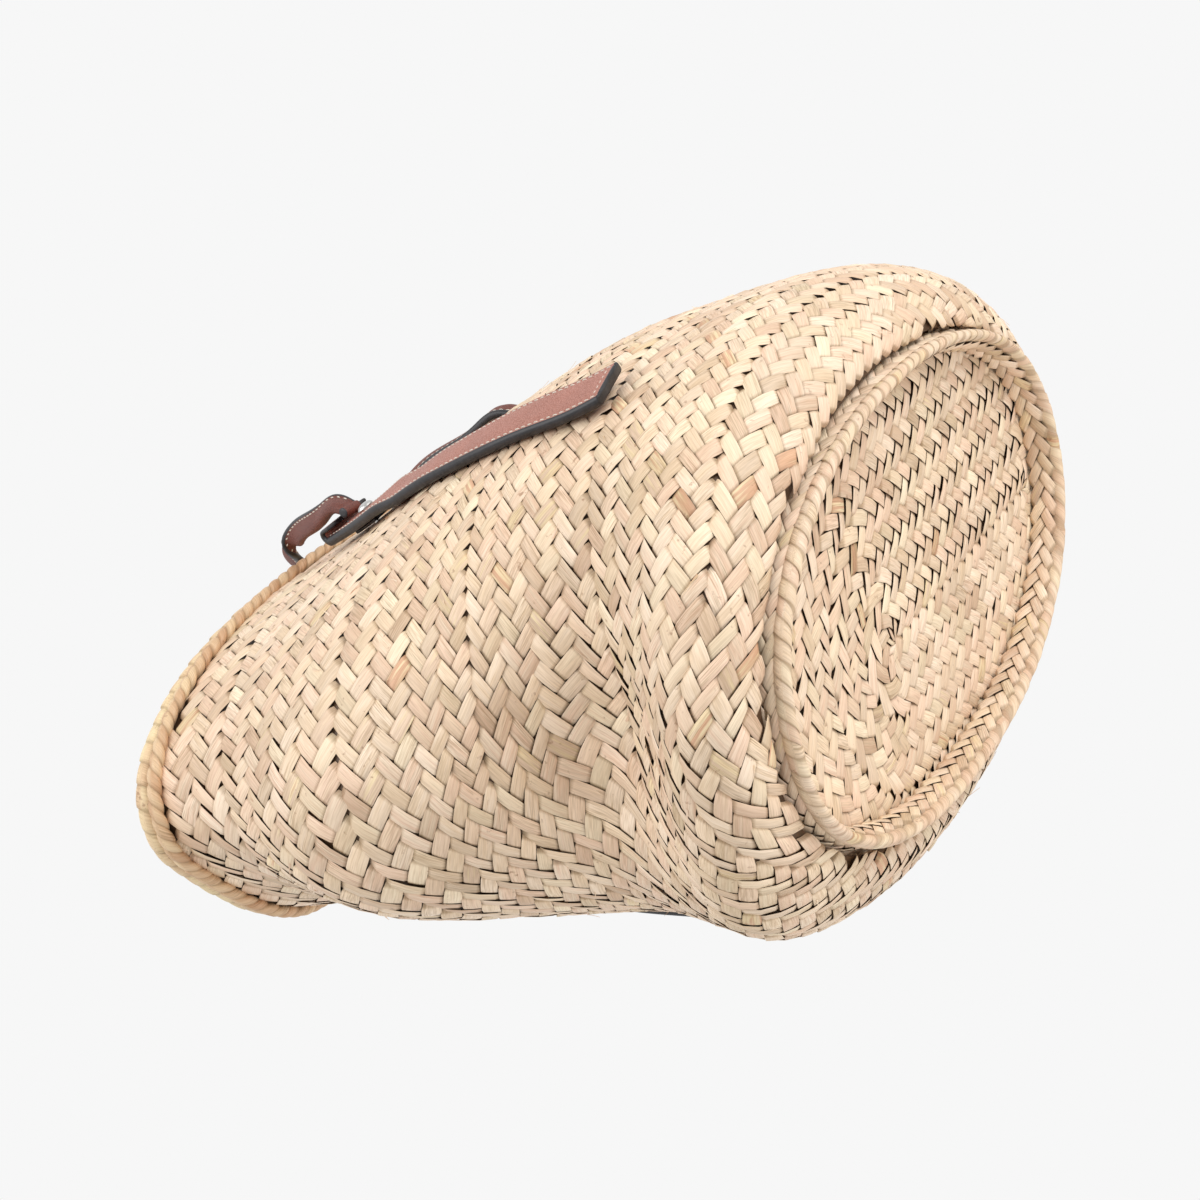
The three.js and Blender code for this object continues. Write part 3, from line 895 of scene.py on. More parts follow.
@dataclass(frozen=True)
class LeatherFinish(Finish):
    """Calf leather: drum dyed, fine pebbled grain pressed in, low sheen."""

    colour: str
    pores: str
    grain_mm: float = 0.9
    roughness: float = 0.48
    relief: float = 0.00012

    def inputs(self, tree: Tree, place: Socket) -> dict[str, object]:
        """Draw the grain as a cell pattern at its real size, with bent cell walls."""
        scale = 1000.0 / self.grain_mm
        bent = add(tree, "TexNoise", {0: place, "Scale": scale * 0.5, "Detail": 2.0}).outputs[1]
        moved = add(tree, "VectorMath", {0: bent, 1: (0.0006,) * 3}, operation="MULTIPLY")
        spot = add(tree, "VectorMath", {0: place, 1: moved}, operation="ADD")
        cells = add(tree, "TexVoronoi", {0: spot, "Scale": scale}, feature="DISTANCE_TO_EDGE")
        valley = add(tree, "MapRange", {0: cells, 1: 0.0, 2: 0.16, 3: 0.0, 4: 1.0})
        cloud = add(tree, "TexNoise", {0: place, "Scale": 60.0, "Detail": 4.0})
        pores = {0: valley, 6: linear(self.pores), 7: linear(self.colour)}
        tint = add(tree, "Mix", pores, data_type="RGBA", blend_type="MIX").outputs[2]
        level = add(tree, "MapRange", {0: cloud, 1: 0.3, 2: 0.7, 3: 0.92, 4: 1.06})
        grey = add(tree, "CombineColor", {0: level, 1: level, 2: level})
        clouded = {0: 1.0, 6: tint, 7: grey}
        return {
            "Base Color": add(tree, "Mix", clouded, data_type="RGBA", blend_type="MULTIPLY").outputs[2],
            "Roughness": add(tree, "MapRange", {0: valley, 3: self.roughness + 0.15, 4: self.roughness}),
            "Normal": add(tree, "Bump", {"Strength": 0.5, "Distance": self.relief, "Height": valley}),
        }


@dataclass(frozen=True)
class EdgeFinish(Finish):
    """Edge paint: laid on in layers and burnished, so it is dark, rounded and half glossy."""

    name: str = "painted_edge"
    colours: tuple[str, str] = ("#17161A", "#2B292D")
    roughness: float = 0.34

    def inputs(self, tree: Tree, place: Socket) -> dict[str, object]:
        """Draw the slow waves of hand laid paint."""
        waves = add(tree, "TexNoise", {0: place, "Scale": 340.0, "Detail": 3.0})
        glossy, matt = self.roughness - 0.06, self.roughness + 0.14
        return {
            "Base Color": add(tree, "ValToRGB", {0: waves}, tuple(zip((0.3, 0.7), self.colours))),
            "Roughness": add(tree, "MapRange", {0: waves, 3: glossy, 4: matt}),
            "Normal": add(tree, "Bump", {"Strength": 0.3, "Distance": 0.0002, "Height": waves}),
        }


@dataclass(frozen=True)
class ThreadFinish(Finish):
    """Waxed linen thread: twisted and drawn through wax, off white with a soft shine."""

    name: str = "waxed_thread"
    colours: tuple[str, str] = ("#B9AE9F", "#E4DCCF")
    roughness: float = 0.6

    def inputs(self, tree: Tree, place: Socket) -> dict[str, object]:
        """Draw the slanted plies of the thread."""
        wave = {0: place, "Scale": 900.0, "Distortion": 1.5}
        plies = add(tree, "TexWave", wave, bands_direction="DIAGONAL").outputs[1]
        return {
            "Base Color": add(tree, "ValToRGB", {0: plies}, tuple(zip((0.1, 0.6), self.colours))),
            "Roughness": self.roughness,
            "Normal": add(tree, "Bump", {"Strength": 0.4, "Distance": 0.0001, "Height": plies}),
        }


@dataclass(frozen=True)
class MetalFinish(Finish):
    """Nickel plated brass: tumbled and polished, mirror like with fine rub marks."""

    name: str = "polished_nickel"
    colours: tuple[str, str] = ("#BDBDBB", "#D8D8D6")
    roughness: tuple[float, float] = (0.12, 0.3)

    def inputs(self, tree: Tree, place: Socket) -> dict[str, object]:
        """Draw faint scratches in the colour and the roughness."""
        rub = add(tree, "TexNoise", {0: place, "Scale": 900.0, "Detail": 5.0})
        return {
            "Metallic": 1.0,
            "Base Color": add(tree, "ValToRGB", {0: rub}, tuple(zip((0.3, 0.7), self.colours))),
            "Roughness": add(tree, "MapRange", {0: rub, 3: self.roughness[0], 4: self.roughness[1]}),
        }


LEAF_STOPS = (
    (0.0, "#EFDABB"),
    (0.2, "#EACFAF"),
    (0.4, "#EED7BD"),
    (0.55, "#E6C5A9"),
    (0.7, "#EACEB0"),
    (0.82, "#DFC3A8"),
    (0.92, "#E9D2A8"),
    (1.0, "#D3A785"),
)
CORD_STOPS = (
    (0.0, "#F0DAB0"),
    (0.3, "#EACEA6"),
    (0.6, "#E1C19B"),
    (1.0, "#CCA27C"),
)


class FinishSet:
    """All materials of the basket, each made once."""

    def __init__(self) -> None:
        """Build the materials."""
        self.leaf = LeafFinish("palm_leaf_plait", LEAF_STOPS).make()
        self.cord = LeafFinish("palm_leaf_cord", CORD_STOPS, roughness=0.5).make()
        # painted shade: the hidden layers are coloured dark so that the gaps between floats look shaded
        self.shade = LeafFinish("palm_leaf_hidden", ((0.0, "#6E5238"), (1.0, "#523C2A")), dark=0.1).make()
        self.tab = LeatherFinish("calf_leather_tab", "#B27A6B", "#8F5848").make()
        # painted shade: the handle leather is the tab's leather coloured as dark as its shaded faces; it
        # also lines the tab's back and makes the tongues and roots
        self.strap = LeatherFinish("calf_leather_handle", "#733C2E", "#552820").make()
        self.edge = EdgeFinish().make()
        self.thread = ThreadFinish().make()
        self.metal = MetalFinish().make()


@dataclass
class Track:
    """Stations of a strap: centre, width direction and face direction of each."""

    centre: Array
    across: Array
    out: Array
    thick: Array

    @classmethod
    def of(cls, stations: Sequence[tuple[Array, Array, Array, float]]) -> "Track":
        """Put stations together in their order."""
        return cls(*(np.array(values) for values in zip(*stations)))

    @property
    def length(self) -> float:
        """Length of the strap's centre line."""
        return run_of(self.centre)[-1]

    def at(self, distance: Array) -> "Track":
        """Read the strap at given distances from its start."""
        run = run_of(self.centre)

        def read(table: Array) -> Array:
            return np.stack([np.interp(distance, run, values) for values in table.T], axis=-1)

        thick = np.interp(distance, run, self.thick)
        return Track(read(self.centre), unit(read(self.across)), unit(read(self.out)), thick)

    def point(self, distance: Array, a: Array | float, b: Array | float) -> Array:
        """Position at a distance along, a across and b out of the strap."""
        here = self.at(distance)
        return here.centre + here.across * np.reshape(a, (-1, 1)) + here.out * np.reshape(b, (-1, 1))


class StrapMaker:
    """Makes leather straps with painted edges, and their stitches."""

    STITCH_HALF = (0.34, 0.3, 1.2)
    STITCH_PULL = 0.28
    # share of the section and of the end's reach, for each ring of a rounded end
    ROUNDING = ((0.985, 0.55), (0.93, 0.92), (0.4, 1.0))

    def __init__(self, maker: MeshMaker, rng: np.random.Generator) -> None:
        """Model the one stitch that all others copy."""
        self.maker = maker
        self.rng = rng
        self.stitch = self.model_stitch()

    def model_stitch(self) -> tuple[Array, Array]:
        """Shape one stitch: a ball drawn long, flattened and pulled down at both ends."""
        bpy.ops.object.select_all(action="DESELECT")
        bpy.ops.mesh.primitive_uv_sphere_add(segments=8, ring_count=8, radius=1.0)
        ball = bpy.context.object
        bpy.ops.object.mode_set(mode="EDIT")
        bpy.ops.transform.resize(value=self.STITCH_HALF)
        bpy.ops.mesh.quads_convert_to_tris()
        bpy.ops.object.mode_set(mode="OBJECT")
        mesh = ball.data
        points = np.array([v.co[:] for v in mesh.vertices])
        faces = np.array([list(p.vertices) for p in mesh.polygons])
        points[:, 1] -= self.STITCH_PULL * (points[:, 2] / self.STITCH_HALF[2]) ** 4
        bpy.data.objects.remove(ball)
        bpy.data.meshes.remove(mesh)
        return points, faces

    def strap(
        self,
        name: str,
        track: Track,
        section: Array,
        slots: Array,
        finishes: Sequence[Material],
        end: float = 0.9,
    ) -> Object:
        """Sweep a section along a track and round its ends.

        Args:
            name: Piece name.
            track: The strap's line.
            section: Points across and out, in millimetres, in order round the strap.
            slots: Material slot of each side of the section.
            finishes: Materials in slot order; the second one covers the ends.
            end: How far each rounded end stands past the track.

        Returns:
            The strap, closed at both ends.
        """
        m = len(section)
        ahead = unit(np.gradient(track.centre, axis=0))
        rings = (
            track.centre[:, None]
            + track.across[:, None] * section[None, :, 0:1]
            + track.out[:, None] * (section[None, :, 1:2] * track.thick[:, None, None])
        )
        caps = []
        for i, way in ((0, -1.0), (-1, 1.0)):
            centre, push = track.centre[i], ahead[i] * way * end
            small = rings[i] - centre
            caps.append([centre + small * share + push * reach for share, reach in self.ROUNDING])
        stack = np.concatenate([caps[0][::-1], rings, caps[1]])
        rows = len(stack)
        j = np.arange(m)
        k = (j + 1) % m
        last, low, high = (rows - 1) * m, np.full(m, rows * m), np.full(m, rows * m + 1)
        fans = [np.stack([j, k, low, low], -1), np.stack([last + k, last + j, high, high], -1)]
        faces = np.concatenate([grid_faces(rows, m, around=True), *fans])
        slot = np.concatenate([np.tile(slots, rows - 1), np.ones(2 * m, int)])
        slot[: len(self.ROUNDING) * m] = 1
        slot[-(len(self.ROUNDING) + 2) * m :] = 1
        flat = np.concatenate([stack.reshape(-1, 3), [stack[0].mean(axis=0), stack[-1].mean(axis=0)]])
        middle = stack[rows // 2]
        faces = outward(flat, faces, (rows // 2) * m, middle[0] - middle.mean(axis=0))
        return self.maker.build(name, flat, faces, finishes, slots=slot)

    def stitches(
        self, name: str, places: Array, along: Array, out: Array, finish: Material
    ) -> Object:
        """Copy the modelled stitch to every place.

        Args:
            name: Piece name.
            places: Middle of each stitch, in millimetres.
            along: Direction of each stitch.
            out: Direction out of the leather.
            finish: The thread.

        Returns:
            One object that holds all the stitches.
        """
        points, faces = self.stitch
        along = unit(along + np.cross(along, out) * self.rng.normal(0.1, 0.03, len(along))[:, None])
        side = unit(np.cross(out, along))
        out = unit(np.cross(along, side))
        copies = (
            places[:, None]
            + side[:, None] * points[None, :, 0:1]
            + out[:, None] * points[None, :, 1:2]
            + along[:, None] * points[None, :, 2:3]
        )
        return self.maker.build(name, copies, copied(faces, len(places), len(points)), [finish])


@dataclass(frozen=True)
class TabShape:
    """Sizes of a leather tab and of the handle's hinge on it, in millimetres."""

    width: float = 24.0
    thickness: float = 4.2
    lift: float = 0.9
    top_lift: float = 3.0
    tip_lift: float = 2.6
    tip_length: float = 36.0
    rise_level: float = 189.0
    rise_length: float = 16.0
    foot_level: float = 86.0
    top_level: float = 238.0
    tail_thickness: float = 1.8
    tail_length: float = 5.0
    fold_gap: float = 2.0
    levels: tuple[float, ...] = (86, 110, 140, 170, 200, 220, 238)
    places: tuple[float, ...] = (-59, -59, -57, -51, -41, -32, -24)
    mirror: float = 32.0
    rivet_level: float = 220.0
    hinge_level: float = 229.0
    root_radius: float = 2.2
    gap: float = 0.3
    press_gap: float = 0.45
    end_thickness: float = 1.5
    end_length: float = 15.0
    handle_width: float = 10.0
    handle_thickness: float = 5.0
    stitch_pitch: float = 3.1
    stitch_inset: float = 2.5

    @property
    def root_lift(self) -> float:
        """Height of the hinge over the outer face of the tab."""
        return self.root_radius + 1.5


@dataclass
class Spot:
    """A place on a tab with its directions."""

    point: Array
    up: Array
    across: Array
    out: Array


class TabLine:
    """Where a tab runs on its face of the basket."""

    def __init__(self, body: BodyShape, shape: TabShape, face: Face, end: End) -> None:
        """Keep the wall that the tab lies on."""
        self.body, self.shape, self.face, self.end = body, shape, face, end
        first, last = (1.02, 1.98) if face is Face.FRONT else (0.98, 0.02)
        self.angles = np.linspace(first * np.pi, last * np.pi, 1201)

    def centre(self, level: float) -> tuple[Array, Array]:
        """Centre line of the tab on the wall, with the wall's outward direction."""
        x = np.mean([self.line_x(level + d) for d in (-9, 0, 9)])
        x = x if self.end is End.NEAR else 2 * self.shape.mirror - x
        angle = np.interp(x, self.body.point(self.angles, level)[:, 0], self.angles)
        return self.body.frame(angle, np.array(level))

    def line_x(self, level: float) -> float:
        """X of the broken line at a level, continued straight past both its ends."""
        levels, xs = self.shape.levels, self.shape.places
        i = int(np.clip(np.searchsorted(levels, level), 1, len(levels) - 1))
        t = (level - levels[i - 1]) / (levels[i] - levels[i - 1])
        return xs[i - 1] + (xs[i] - xs[i - 1]) * t

    def spot(self, level: float) -> Spot:
        """Place on the tab at a level, with the directions of the strap."""
        point, wall_out = self.centre(level)
        ahead = self.centre(min(level + 2, self.shape.top_level))[0]
        behind = self.centre(max(level - 2, self.shape.foot_level))[0]
        up = unit(ahead - behind)
        across = unit(np.cross(up, wall_out))
        out = unit(np.cross(across, up))
        return Spot(point, up, across, out if np.dot(out, wall_out) > 0 else -out)

    def lift(self, level: float) -> float:
        """How far the inner face of the tab stands off the wall."""
        s = self.shape
        top = min(max((level - s.rise_level) / s.rise_length, 0), 1)
        tip = max(0.0, 1 - (level - s.foot_level) / s.tip_length) ** 2
        return s.lift + (s.top_lift - s.lift) * top * top * (3 - 2 * top) + s.tip_lift * tip

    def root(self) -> Array:
        """Centre of the handle's hinge."""
        spot = self.spot(self.shape.hinge_level)
        return spot.point + spot.out * (self.shape.top_lift + self.shape.thickness + self.shape.root_lift)


def edged_section(width: float, thickness: float, groove: float) -> tuple[Array, Array]:
    """Section of a strap with a stitched groove near each painted edge.

    Args:
        width: Full width.
        thickness: Full thickness.
        groove: Distance of the stitches from the edge.

    Returns:
        Points across and out, and the slot of each side: 0 face, 1 edge, 2 lining.
    """
    w, t = width / 2, thickness / 2
    half = [
        (-w + 1.3, t),
        (-w + groove - 0.55, t - 0.02),
        (-w + groove, t - 0.22),
        (-w + groove + 0.6, t),
        (-w * 0.35, t + 0.12),
    ]
    top = half + [(-a, b) for a, b in reversed(half)]
    corner = [(w - 0.45, t * 0.86), (w - 0.05, t * 0.45)]
    right = [*corner, (w + 0.05, 0.0), *((a, -b) for a, b in reversed(corner))]
    under = [(w - 1.3, -t), (w * 0.3, -t), (-w * 0.3, -t), (-w + 1.3, -t)]
    left = [(-a, b) for a, b in reversed(right)]
    sides = ((0, len(top) - 1), (1, len(right) + 1), (2, len(under) - 1), (1, len(left) + 1))
    slots = [np.full(count, slot) for slot, count in sides]
    return np.array(top + right + under + left), np.concatenate(slots)


class LeatherTab:
    """One stitched tab with its rivet and the handle's tongue under it."""

    def __init__(self, line: TabLine, straps: StrapMaker, finishes: FinishSet) -> None:
        """Keep the line of the tab and the makers."""
        self.line, self.straps, self.finishes = line, straps, finishes
        self.shape = line.shape
        self.name = f"{line.face.name.lower()}_{line.end.value}"

    def track(self) -> Track:
        """Stations of the tab from its free tip, up the wall and over its fold."""
        s, line = self.shape, self.line
        rows = []
        for level in np.arange(s.foot_level, s.top_level - 3, 3.5):
            spot = line.spot(level)
            centre = spot.point + spot.out * (line.lift(level) + s.thickness / 2)
            rows.append((centre, spot.across, spot.out, 1.0))
        top = line.spot(s.top_level)
        end = top.point + top.out * (s.top_lift + s.thickness / 2)
        turn = (s.thickness / 2 + s.fold_gap + s.tail_thickness / 2) / 2
        thin = s.tail_thickness / s.thickness
        for degrees in range(0, 181, 15):
            a = math.radians(degrees)
            centre = end + top.out * turn * (1 - math.cos(a)) + top.up * turn * math.sin(a)
            out = top.out * math.cos(a) - top.up * math.sin(a)
            rows.append((centre, top.across, out, 1 + (thin - 1) * degrees / 180))
        centre, across, out, thick = rows[-1]
        rows.append((centre - top.up * s.tail_length, across, out, thick))
        return Track.of(rows)

    def build(self) -> list[Made]:
        """Make the tab, its stitches, the tongue and the rivet."""
        return [self.strap(), self.seams(), self.tongue(), self.rivet()]

    def strap(self) -> Made:
        """The tab itself."""
        section, slots = edged_section(self.shape.width - 0.3, self.shape.thickness, self.shape.stitch_inset)
        finishes = [self.finishes.tab, self.finishes.edge, self.finishes.strap]
        piece = self.straps.strap(f"{self.name}_tab_leather", self.track(), section, slots, finishes)
        return piece, (f"{self.name}_tab",), "tab_leather"

    def seams(self) -> Made:
        """Stitches along both edges and across the tip."""
        s, track = self.shape, self.track()
        run = np.arange(s.stitch_inset, track.length - s.tail_length - 6, s.stitch_pitch)
        edge = s.width / 2 - 0.15 - s.stitch_inset
        height = s.thickness / 2 - 0.05
        here = track.at(run)
        count = int(2 * edge / s.stitch_pitch)
        a = (np.arange(1, count) / count * 2 - 1) * edge
        start = np.full(len(a), s.stitch_inset)
        tip = track.at(start)
        places = [track.point(run, side * edge, height * here.thick) for side in (-1, 1)]
        ahead = np.gradient(here.centre, axis=0)
        name = f"{self.name}_tab_stitches"
        places = np.concatenate([*places, track.point(start, a, height)])
        along = unit(np.concatenate([ahead, ahead, tip.across]))
        out = np.concatenate([here.out, here.out, tip.out])
        return self.straps.stitches(name, places, along, out, self.finishes.thread), (), "tab_leather"

    def tongue(self) -> Made:
        """End of the handle that lies under the tab and turns up to the hinge."""
        s, line = self.shape, self.line
        place, root = line.spot(s.hinge_level), line.root()
        below = s.top_lift - s.press_gap - s.end_thickness / 2
        rows = []
        for level in np.arange(s.hinge_level - s.end_length, s.hinge_level, 2.0):
            spot = line.spot(level)
            rows.append((spot.point + spot.out * below, spot.across, spot.out, 1.0))
        corner = root + place.out * (below - s.top_lift - s.thickness - s.root_lift)
        rows.append((corner, place.across, unit(place.out - place.up), 1.0))
        rows.append((root - place.out * (s.root_radius + 3 * s.gap), place.across, -place.up, 1.0))
        w, t = s.handle_width / 2, s.end_thickness / 2
        section = np.array([(-w + 0.4, t), (w - 0.4, t), (w, 0.0), (w - 0.4, -t), (-w + 0.4, -t), (-w, 0.0)])
        slots, finishes = np.array([0, 1, 1, 0, 1, 1]), [self.finishes.strap, self.finishes.edge]
        name = f"{self.name}_handle_tongue"
        piece = self.straps.strap(name, Track.of(rows), section, slots, finishes, end=0.15)
        return piece, (f"{self.name}_handle_end",), "handle_leather"

    def rivet(self) -> Made:
        """Domed rivet, turned from its profile by a spin."""
        s = self.shape
        spot = self.line.spot(s.rivet_level)
        seat = s.top_lift + s.thickness + s.press_gap
        inside = -self.line.body.wall_thickness - s.gap - 0.2
        under = ((0.0, -1.15), (2.6, -1.1), (3.6, -0.8), (3.8, -0.4), (3.6, 0.0), (1.6, 0.0))
        dome = ((1.6, 0.0), (3.5, 0.0), (3.8, 0.25), (3.78, 0.6), (3.45, 1.15))
        crown = ((2.8, 1.65), (1.9, 2.0), (1.0, 2.17), (0.0, 2.2))
        outline = [(r, inside + z) for r, z in under] + [(r, seat + z) for r, z in dome + crown]
        mesh = bpy.data.meshes.new("rivet_profile")
        edges = [(i, i + 1) for i in range(len(outline) - 1)]
        mesh.from_pydata([(r * MM, 0.0, z * MM) for r, z in outline], edges, [])
        piece = bpy.data.objects.new(f"{self.name}_rivet_dome", mesh)
        bpy.context.scene.collection.objects.link(piece)
        bpy.ops.object.select_all(action="DESELECT")
        piece.select_set(True)
        bpy.context.view_layer.objects.active = piece
        bpy.ops.object.mode_set(mode="EDIT")
        bpy.ops.mesh.select_all(action="SELECT")
        bpy.ops.mesh.spin(steps=40, angle=TURN, center=(0, 0, 0), axis=(0, 0, 1))
        bpy.ops.mesh.select_all(action="SELECT")
        bpy.ops.mesh.remove_doubles(threshold=0.00001)
        bpy.ops.mesh.normals_make_consistent(inside=False)
        bpy.ops.object.mode_set(mode="OBJECT")
        side = unit(spot.across)
        axes = np.stack([side, np.cross(spot.out, side), spot.out])
        place = Matrix(axes.tolist()).transposed().to_4x4()
        place.translation = Vector(self.straps.maker.metres(spot.point)[0].tolist())
        piece.data.transform(place)
        piece.data.materials.append(self.finishes.metal)
        bpy.ops.object.shade_smooth_by_angle(angle=math.radians(50))
        return piece, (f"{self.name}_rivet",), "rivet_metal"


Knot = tuple[float, float, float, tuple[float, float, float]]


def smooth_curve(knots: Array, t: Array) -> Array:
    """Centripetal Catmull-Rom curve through knots, read at t from 0 to 1."""
    ends = np.vstack([2 * knots[0] - knots[1], knots, 2 * knots[-1] - knots[-2]])
    place = np.clip(t, 0, 1) * (len(knots) - 1)
    i = np.minimum(place.astype(int), len(knots) - 2)
    w = (place - i)[:, None]
    p0, p1, p2, p3 = (ends[i + k] for k in range(4))
    pairs = ((p0, p1), (p1, p2), (p2, p3))
    d0, d1, d2 = (np.linalg.norm(b - a, axis=1, keepdims=True) ** 0.5 for a, b in pairs)
    d1 = np.where(d1 < 1e-4, 1.0, d1)
    d0, d2 = np.where(d0 < 1e-4, d1, d0), np.where(d2 < 1e-4, d1, d2)
    m1 = ((p1 - p0) / d0 - (p2 - p0) / (d0 + d1) + (p2 - p1) / d1) * d1
    m2 = ((p2 - p1) / d1 - (p3 - p1) / (d1 + d2) + (p3 - p2) / d2) * d1
    w2, w3 = w * w, w**3
    return (
        p1
        + m1 * w
        + (-3 * p1 + 3 * p2 - 2 * m1 - m2) * w2
        + (2 * p1 - 2 * p2 + m1 + m2) * w3
    )


FRONT_LINE: tuple[Knot, ...] = (
    (0, 0, 0, (-1, 0, 0)),
    (0.5, 1.2, 4, (-1, -0.1, 0)),
    (1, 1.8, 8, (-0.95, -0.3, 0)),
    (1.7, 0.8, 13.5, (-0.75, -0.65, 0)),
    (2.7, -3.6, 21, (-0.5, -0.85, 0.05)),
    (4.2, -7.5, 30, (-0.25, -0.95, 0.15)),
    (8, -12.6, 44, (0.15, -0.85, 0.45)),
    (11.5, -20.5, 57, (0.5, -0.55, 0.65)),
    (16, -30, 67, (0.5, -0.25, 0.85)),
    (25, -42, 72, (0.25, -0.05, 0.97)),
    (38, -49, 73, (0, 0, 1)),
)
FRONT_FAR_LINE: tuple[Knot, ...] = (
    (0, 0, 0, (-1, 0, 0)),
    (0.3, 1.6, 4, (-1, 0, 0)),
    (0.8, 2.4, 8, (-1, 0, 0)),
    (1.5, 1.6, 13.5, (-1, 0, 0)),
    (2.5, -3, 21, (-1, 0, 0)),
    (3.6, -8, 30, (-1, 0, 0.05)),
    (5, -11.8, 40, (-0.97, 0, 0.2)),
    (7.5, -17, 52, (-0.85, 0, 0.5)),
    (12, -25.5, 61, (-0.6, 0, 0.8)),
    (19, -37, 68, (-0.35, 0, 0.94)),
    (28, -45, 72, (-0.1, 0, 1)),
    (38, -49, 73, (0, 0, 1)),
)
BACK_LINE: tuple[Knot, ...] = (
    (0, 0, 0, (-1, 0, 0)),
    (0.2, 2.9, 3.5, (-1, -0.1, 0)),
    (0.4, 6.3, 7.5, (-0.95, -0.3, 0)),
    (0.7, 8.6, 12.5, (-0.75, -0.65, 0)),
    (1.3, 9.1, 20, (-0.5, -0.85, 0.05)),
    (2.3, 9, 33, (-0.25, -0.95, 0.15)),
    (4.7, 8.5, 47, (0.15, -0.85, 0.45)),
    (9, 3, 60, (0.45, -0.5, 0.7)),
    (16, -7, 69, (0.4, -0.2, 0.88)),
    (25, -16, 74, (0.2, -0.05, 0.97)),
    (37.5, -18, 75, (0, 0, 1)),
)


class LeatherHandle:
    """One folded and stitched strap between two tabs."""

    STATIONS = 181
    ROOT_SHARE = 0.025
    ROOT_SIDES = 20
    ROOT_STATIONS = 9
    STITCH_PLACE = (-2.7, 1.72)

    def __init__(
        self, body: BodyShape, shape: TabShape, face: Face, straps: StrapMaker, finishes: FinishSet
    ) -> None:
        """Find the two roots of the handle."""
        self.shape, self.face, self.straps, self.finishes = shape, face, straps, finishes
        self.near, self.far = (TabLine(body, shape, face, end).root() for end in End)
        self.name = f"{face.name.lower()}_handle"
        self.axis = unit(self.far - self.near)

    def track(self) -> Track:
        """Stations of the handle from the near root to the far one."""
        span = float(np.linalg.norm(self.far - self.near))
        axis = self.axis
        up = unit(np.array([0.0, 0.0, 1.0]) - axis * axis[2])
        out = unit(np.cross(axis, up))
        out = out if out[1] * self.face.value > 0 else -out
        halves = (FRONT_LINE, FRONT_FAR_LINE) if self.face is Face.FRONT else (BACK_LINE, BACK_LINE)
        knots, others = ([(x * span / (2 * line[-1][0]), o, u, w) for x, o, u, w in line] for line in halves)
        knots += [(span - x, o, u, (-w[0], w[1], w[2])) for x, o, u, w in reversed(others[:-1])]
        points = np.array([self.near + axis * x + out * o + up * u for x, o, u, _ in knots])
        widths = np.array([axis * w[0] + out * w[1] + up * w[2] for *_, w in knots])
        t = np.linspace(0, 1, self.STATIONS)
        centre, across = (self.relaxed(smooth_curve(knot, t), t) for knot in (points, widths))
        ahead = unit(np.gradient(centre, axis=0))
        across = unit(across - ahead * np.sum(across * ahead, axis=1, keepdims=True))
        root = 2 * self.shape.root_radius / self.shape.handle_thickness
        thick = np.where(np.minimum(t, 1 - t) < self.ROOT_SHARE, root, 1.0)
        return Track(centre, across, unit(np.cross(ahead, across)), thick)

    @staticmethod
    def relaxed(values: Array, t: Array) -> Array:
        """Even out the bends of a curve away from its ends, as stiff leather does.

        Args:
            values: Points or directions along the curve.
            t: Share of the curve at each of them.

        Returns:
            The curve with its short waves taken out.
        """
        reach = 6
        window = np.hanning(2 * reach + 3)
        padded = np.pad(values, ((reach, reach), (0, 0)), mode="edge")
        share = window[1:-1] / window.sum()
        even = np.stack([np.convolve(column, share, mode="valid") for column in padded.T], axis=-1)
        rise, still = 22, 0.35
        part = np.clip(np.minimum(t, 1 - t)[:, None] * rise - still, 0, 1)
        return values + (even - values) * part * part * (3 - 2 * part)

    @staticmethod
    def section() -> tuple[Array, Array]:
        """Folded leather: two layers that meet at the painted, stitched side."""
        half = [(-4.95, 0.55), (-4.7, 1.35), (-4.2, 1.75), (-3.3, 1.85), (-2.7, 1.6), (-2.1, 1.85)]
        half += [(0.0, 2.2), (2.2, 2.45), (3.8, 2.1), (4.65, 1.25), (5.0, 0.0)]
        points = np.array(half + [(a, -b) for a, b in reversed(half[:-1])])
        slots = np.zeros(len(points), int)
        painted = 3
        slots[:painted] = 1
        slots[-painted - 1 :] = 1
        return points, slots

    def build(self) -> list[Made]:
        """Make the strap, its roots and its stitches."""
        s = self.shape
        finishes = [self.finishes.strap, self.finishes.edge]
        track = self.track()
        strap = self.straps.strap(f"{self.name}_leather", track, *self.section(), finishes, end=0.2)
        made = [(strap, (self.name,), "handle_leather")]
        reach, n = s.handle_width / 2 - 0.4, self.ROOT_STATIONS
        side = unit(np.cross(self.axis, [0.0, 0.0, 1.0]))
        turn = np.arange(self.ROOT_SIDES) / self.ROOT_SIDES * TURN
        ring = np.stack([np.cos(turn), np.sin(turn)], -1) * s.root_radius
        for label, centre in (("near", self.near), ("far", self.far)):
            line = centre + self.axis * np.linspace(-reach, reach, n)[:, None]
            roll = Track(line, np.tile(side, (n, 1)), np.tile(np.cross(self.axis, side), (n, 1)), np.ones(n))
            slots = np.zeros(self.ROOT_SIDES, int)
            piece = self.straps.strap(f"{self.name}_{label}_root", roll, ring, slots, finishes, end=0.4)
            made.append((piece, (), "handle_leather"))
        run = np.arange(6, track.length - 5, s.stitch_pitch)
        here = track.at(run)
        along = np.tile(unit(np.gradient(here.centre, axis=0)), (2, 1))
        across, rise = self.STITCH_PLACE
        places = np.concatenate([track.point(run, across, way * rise) for way in (1, -1)])
        outs = np.concatenate([here.out, -here.out])
        thread = self.straps.stitches(f"{self.name}_stitches", places, along, outs, self.finishes.thread)
        return [*made, (thread, (), "handle_leather")]


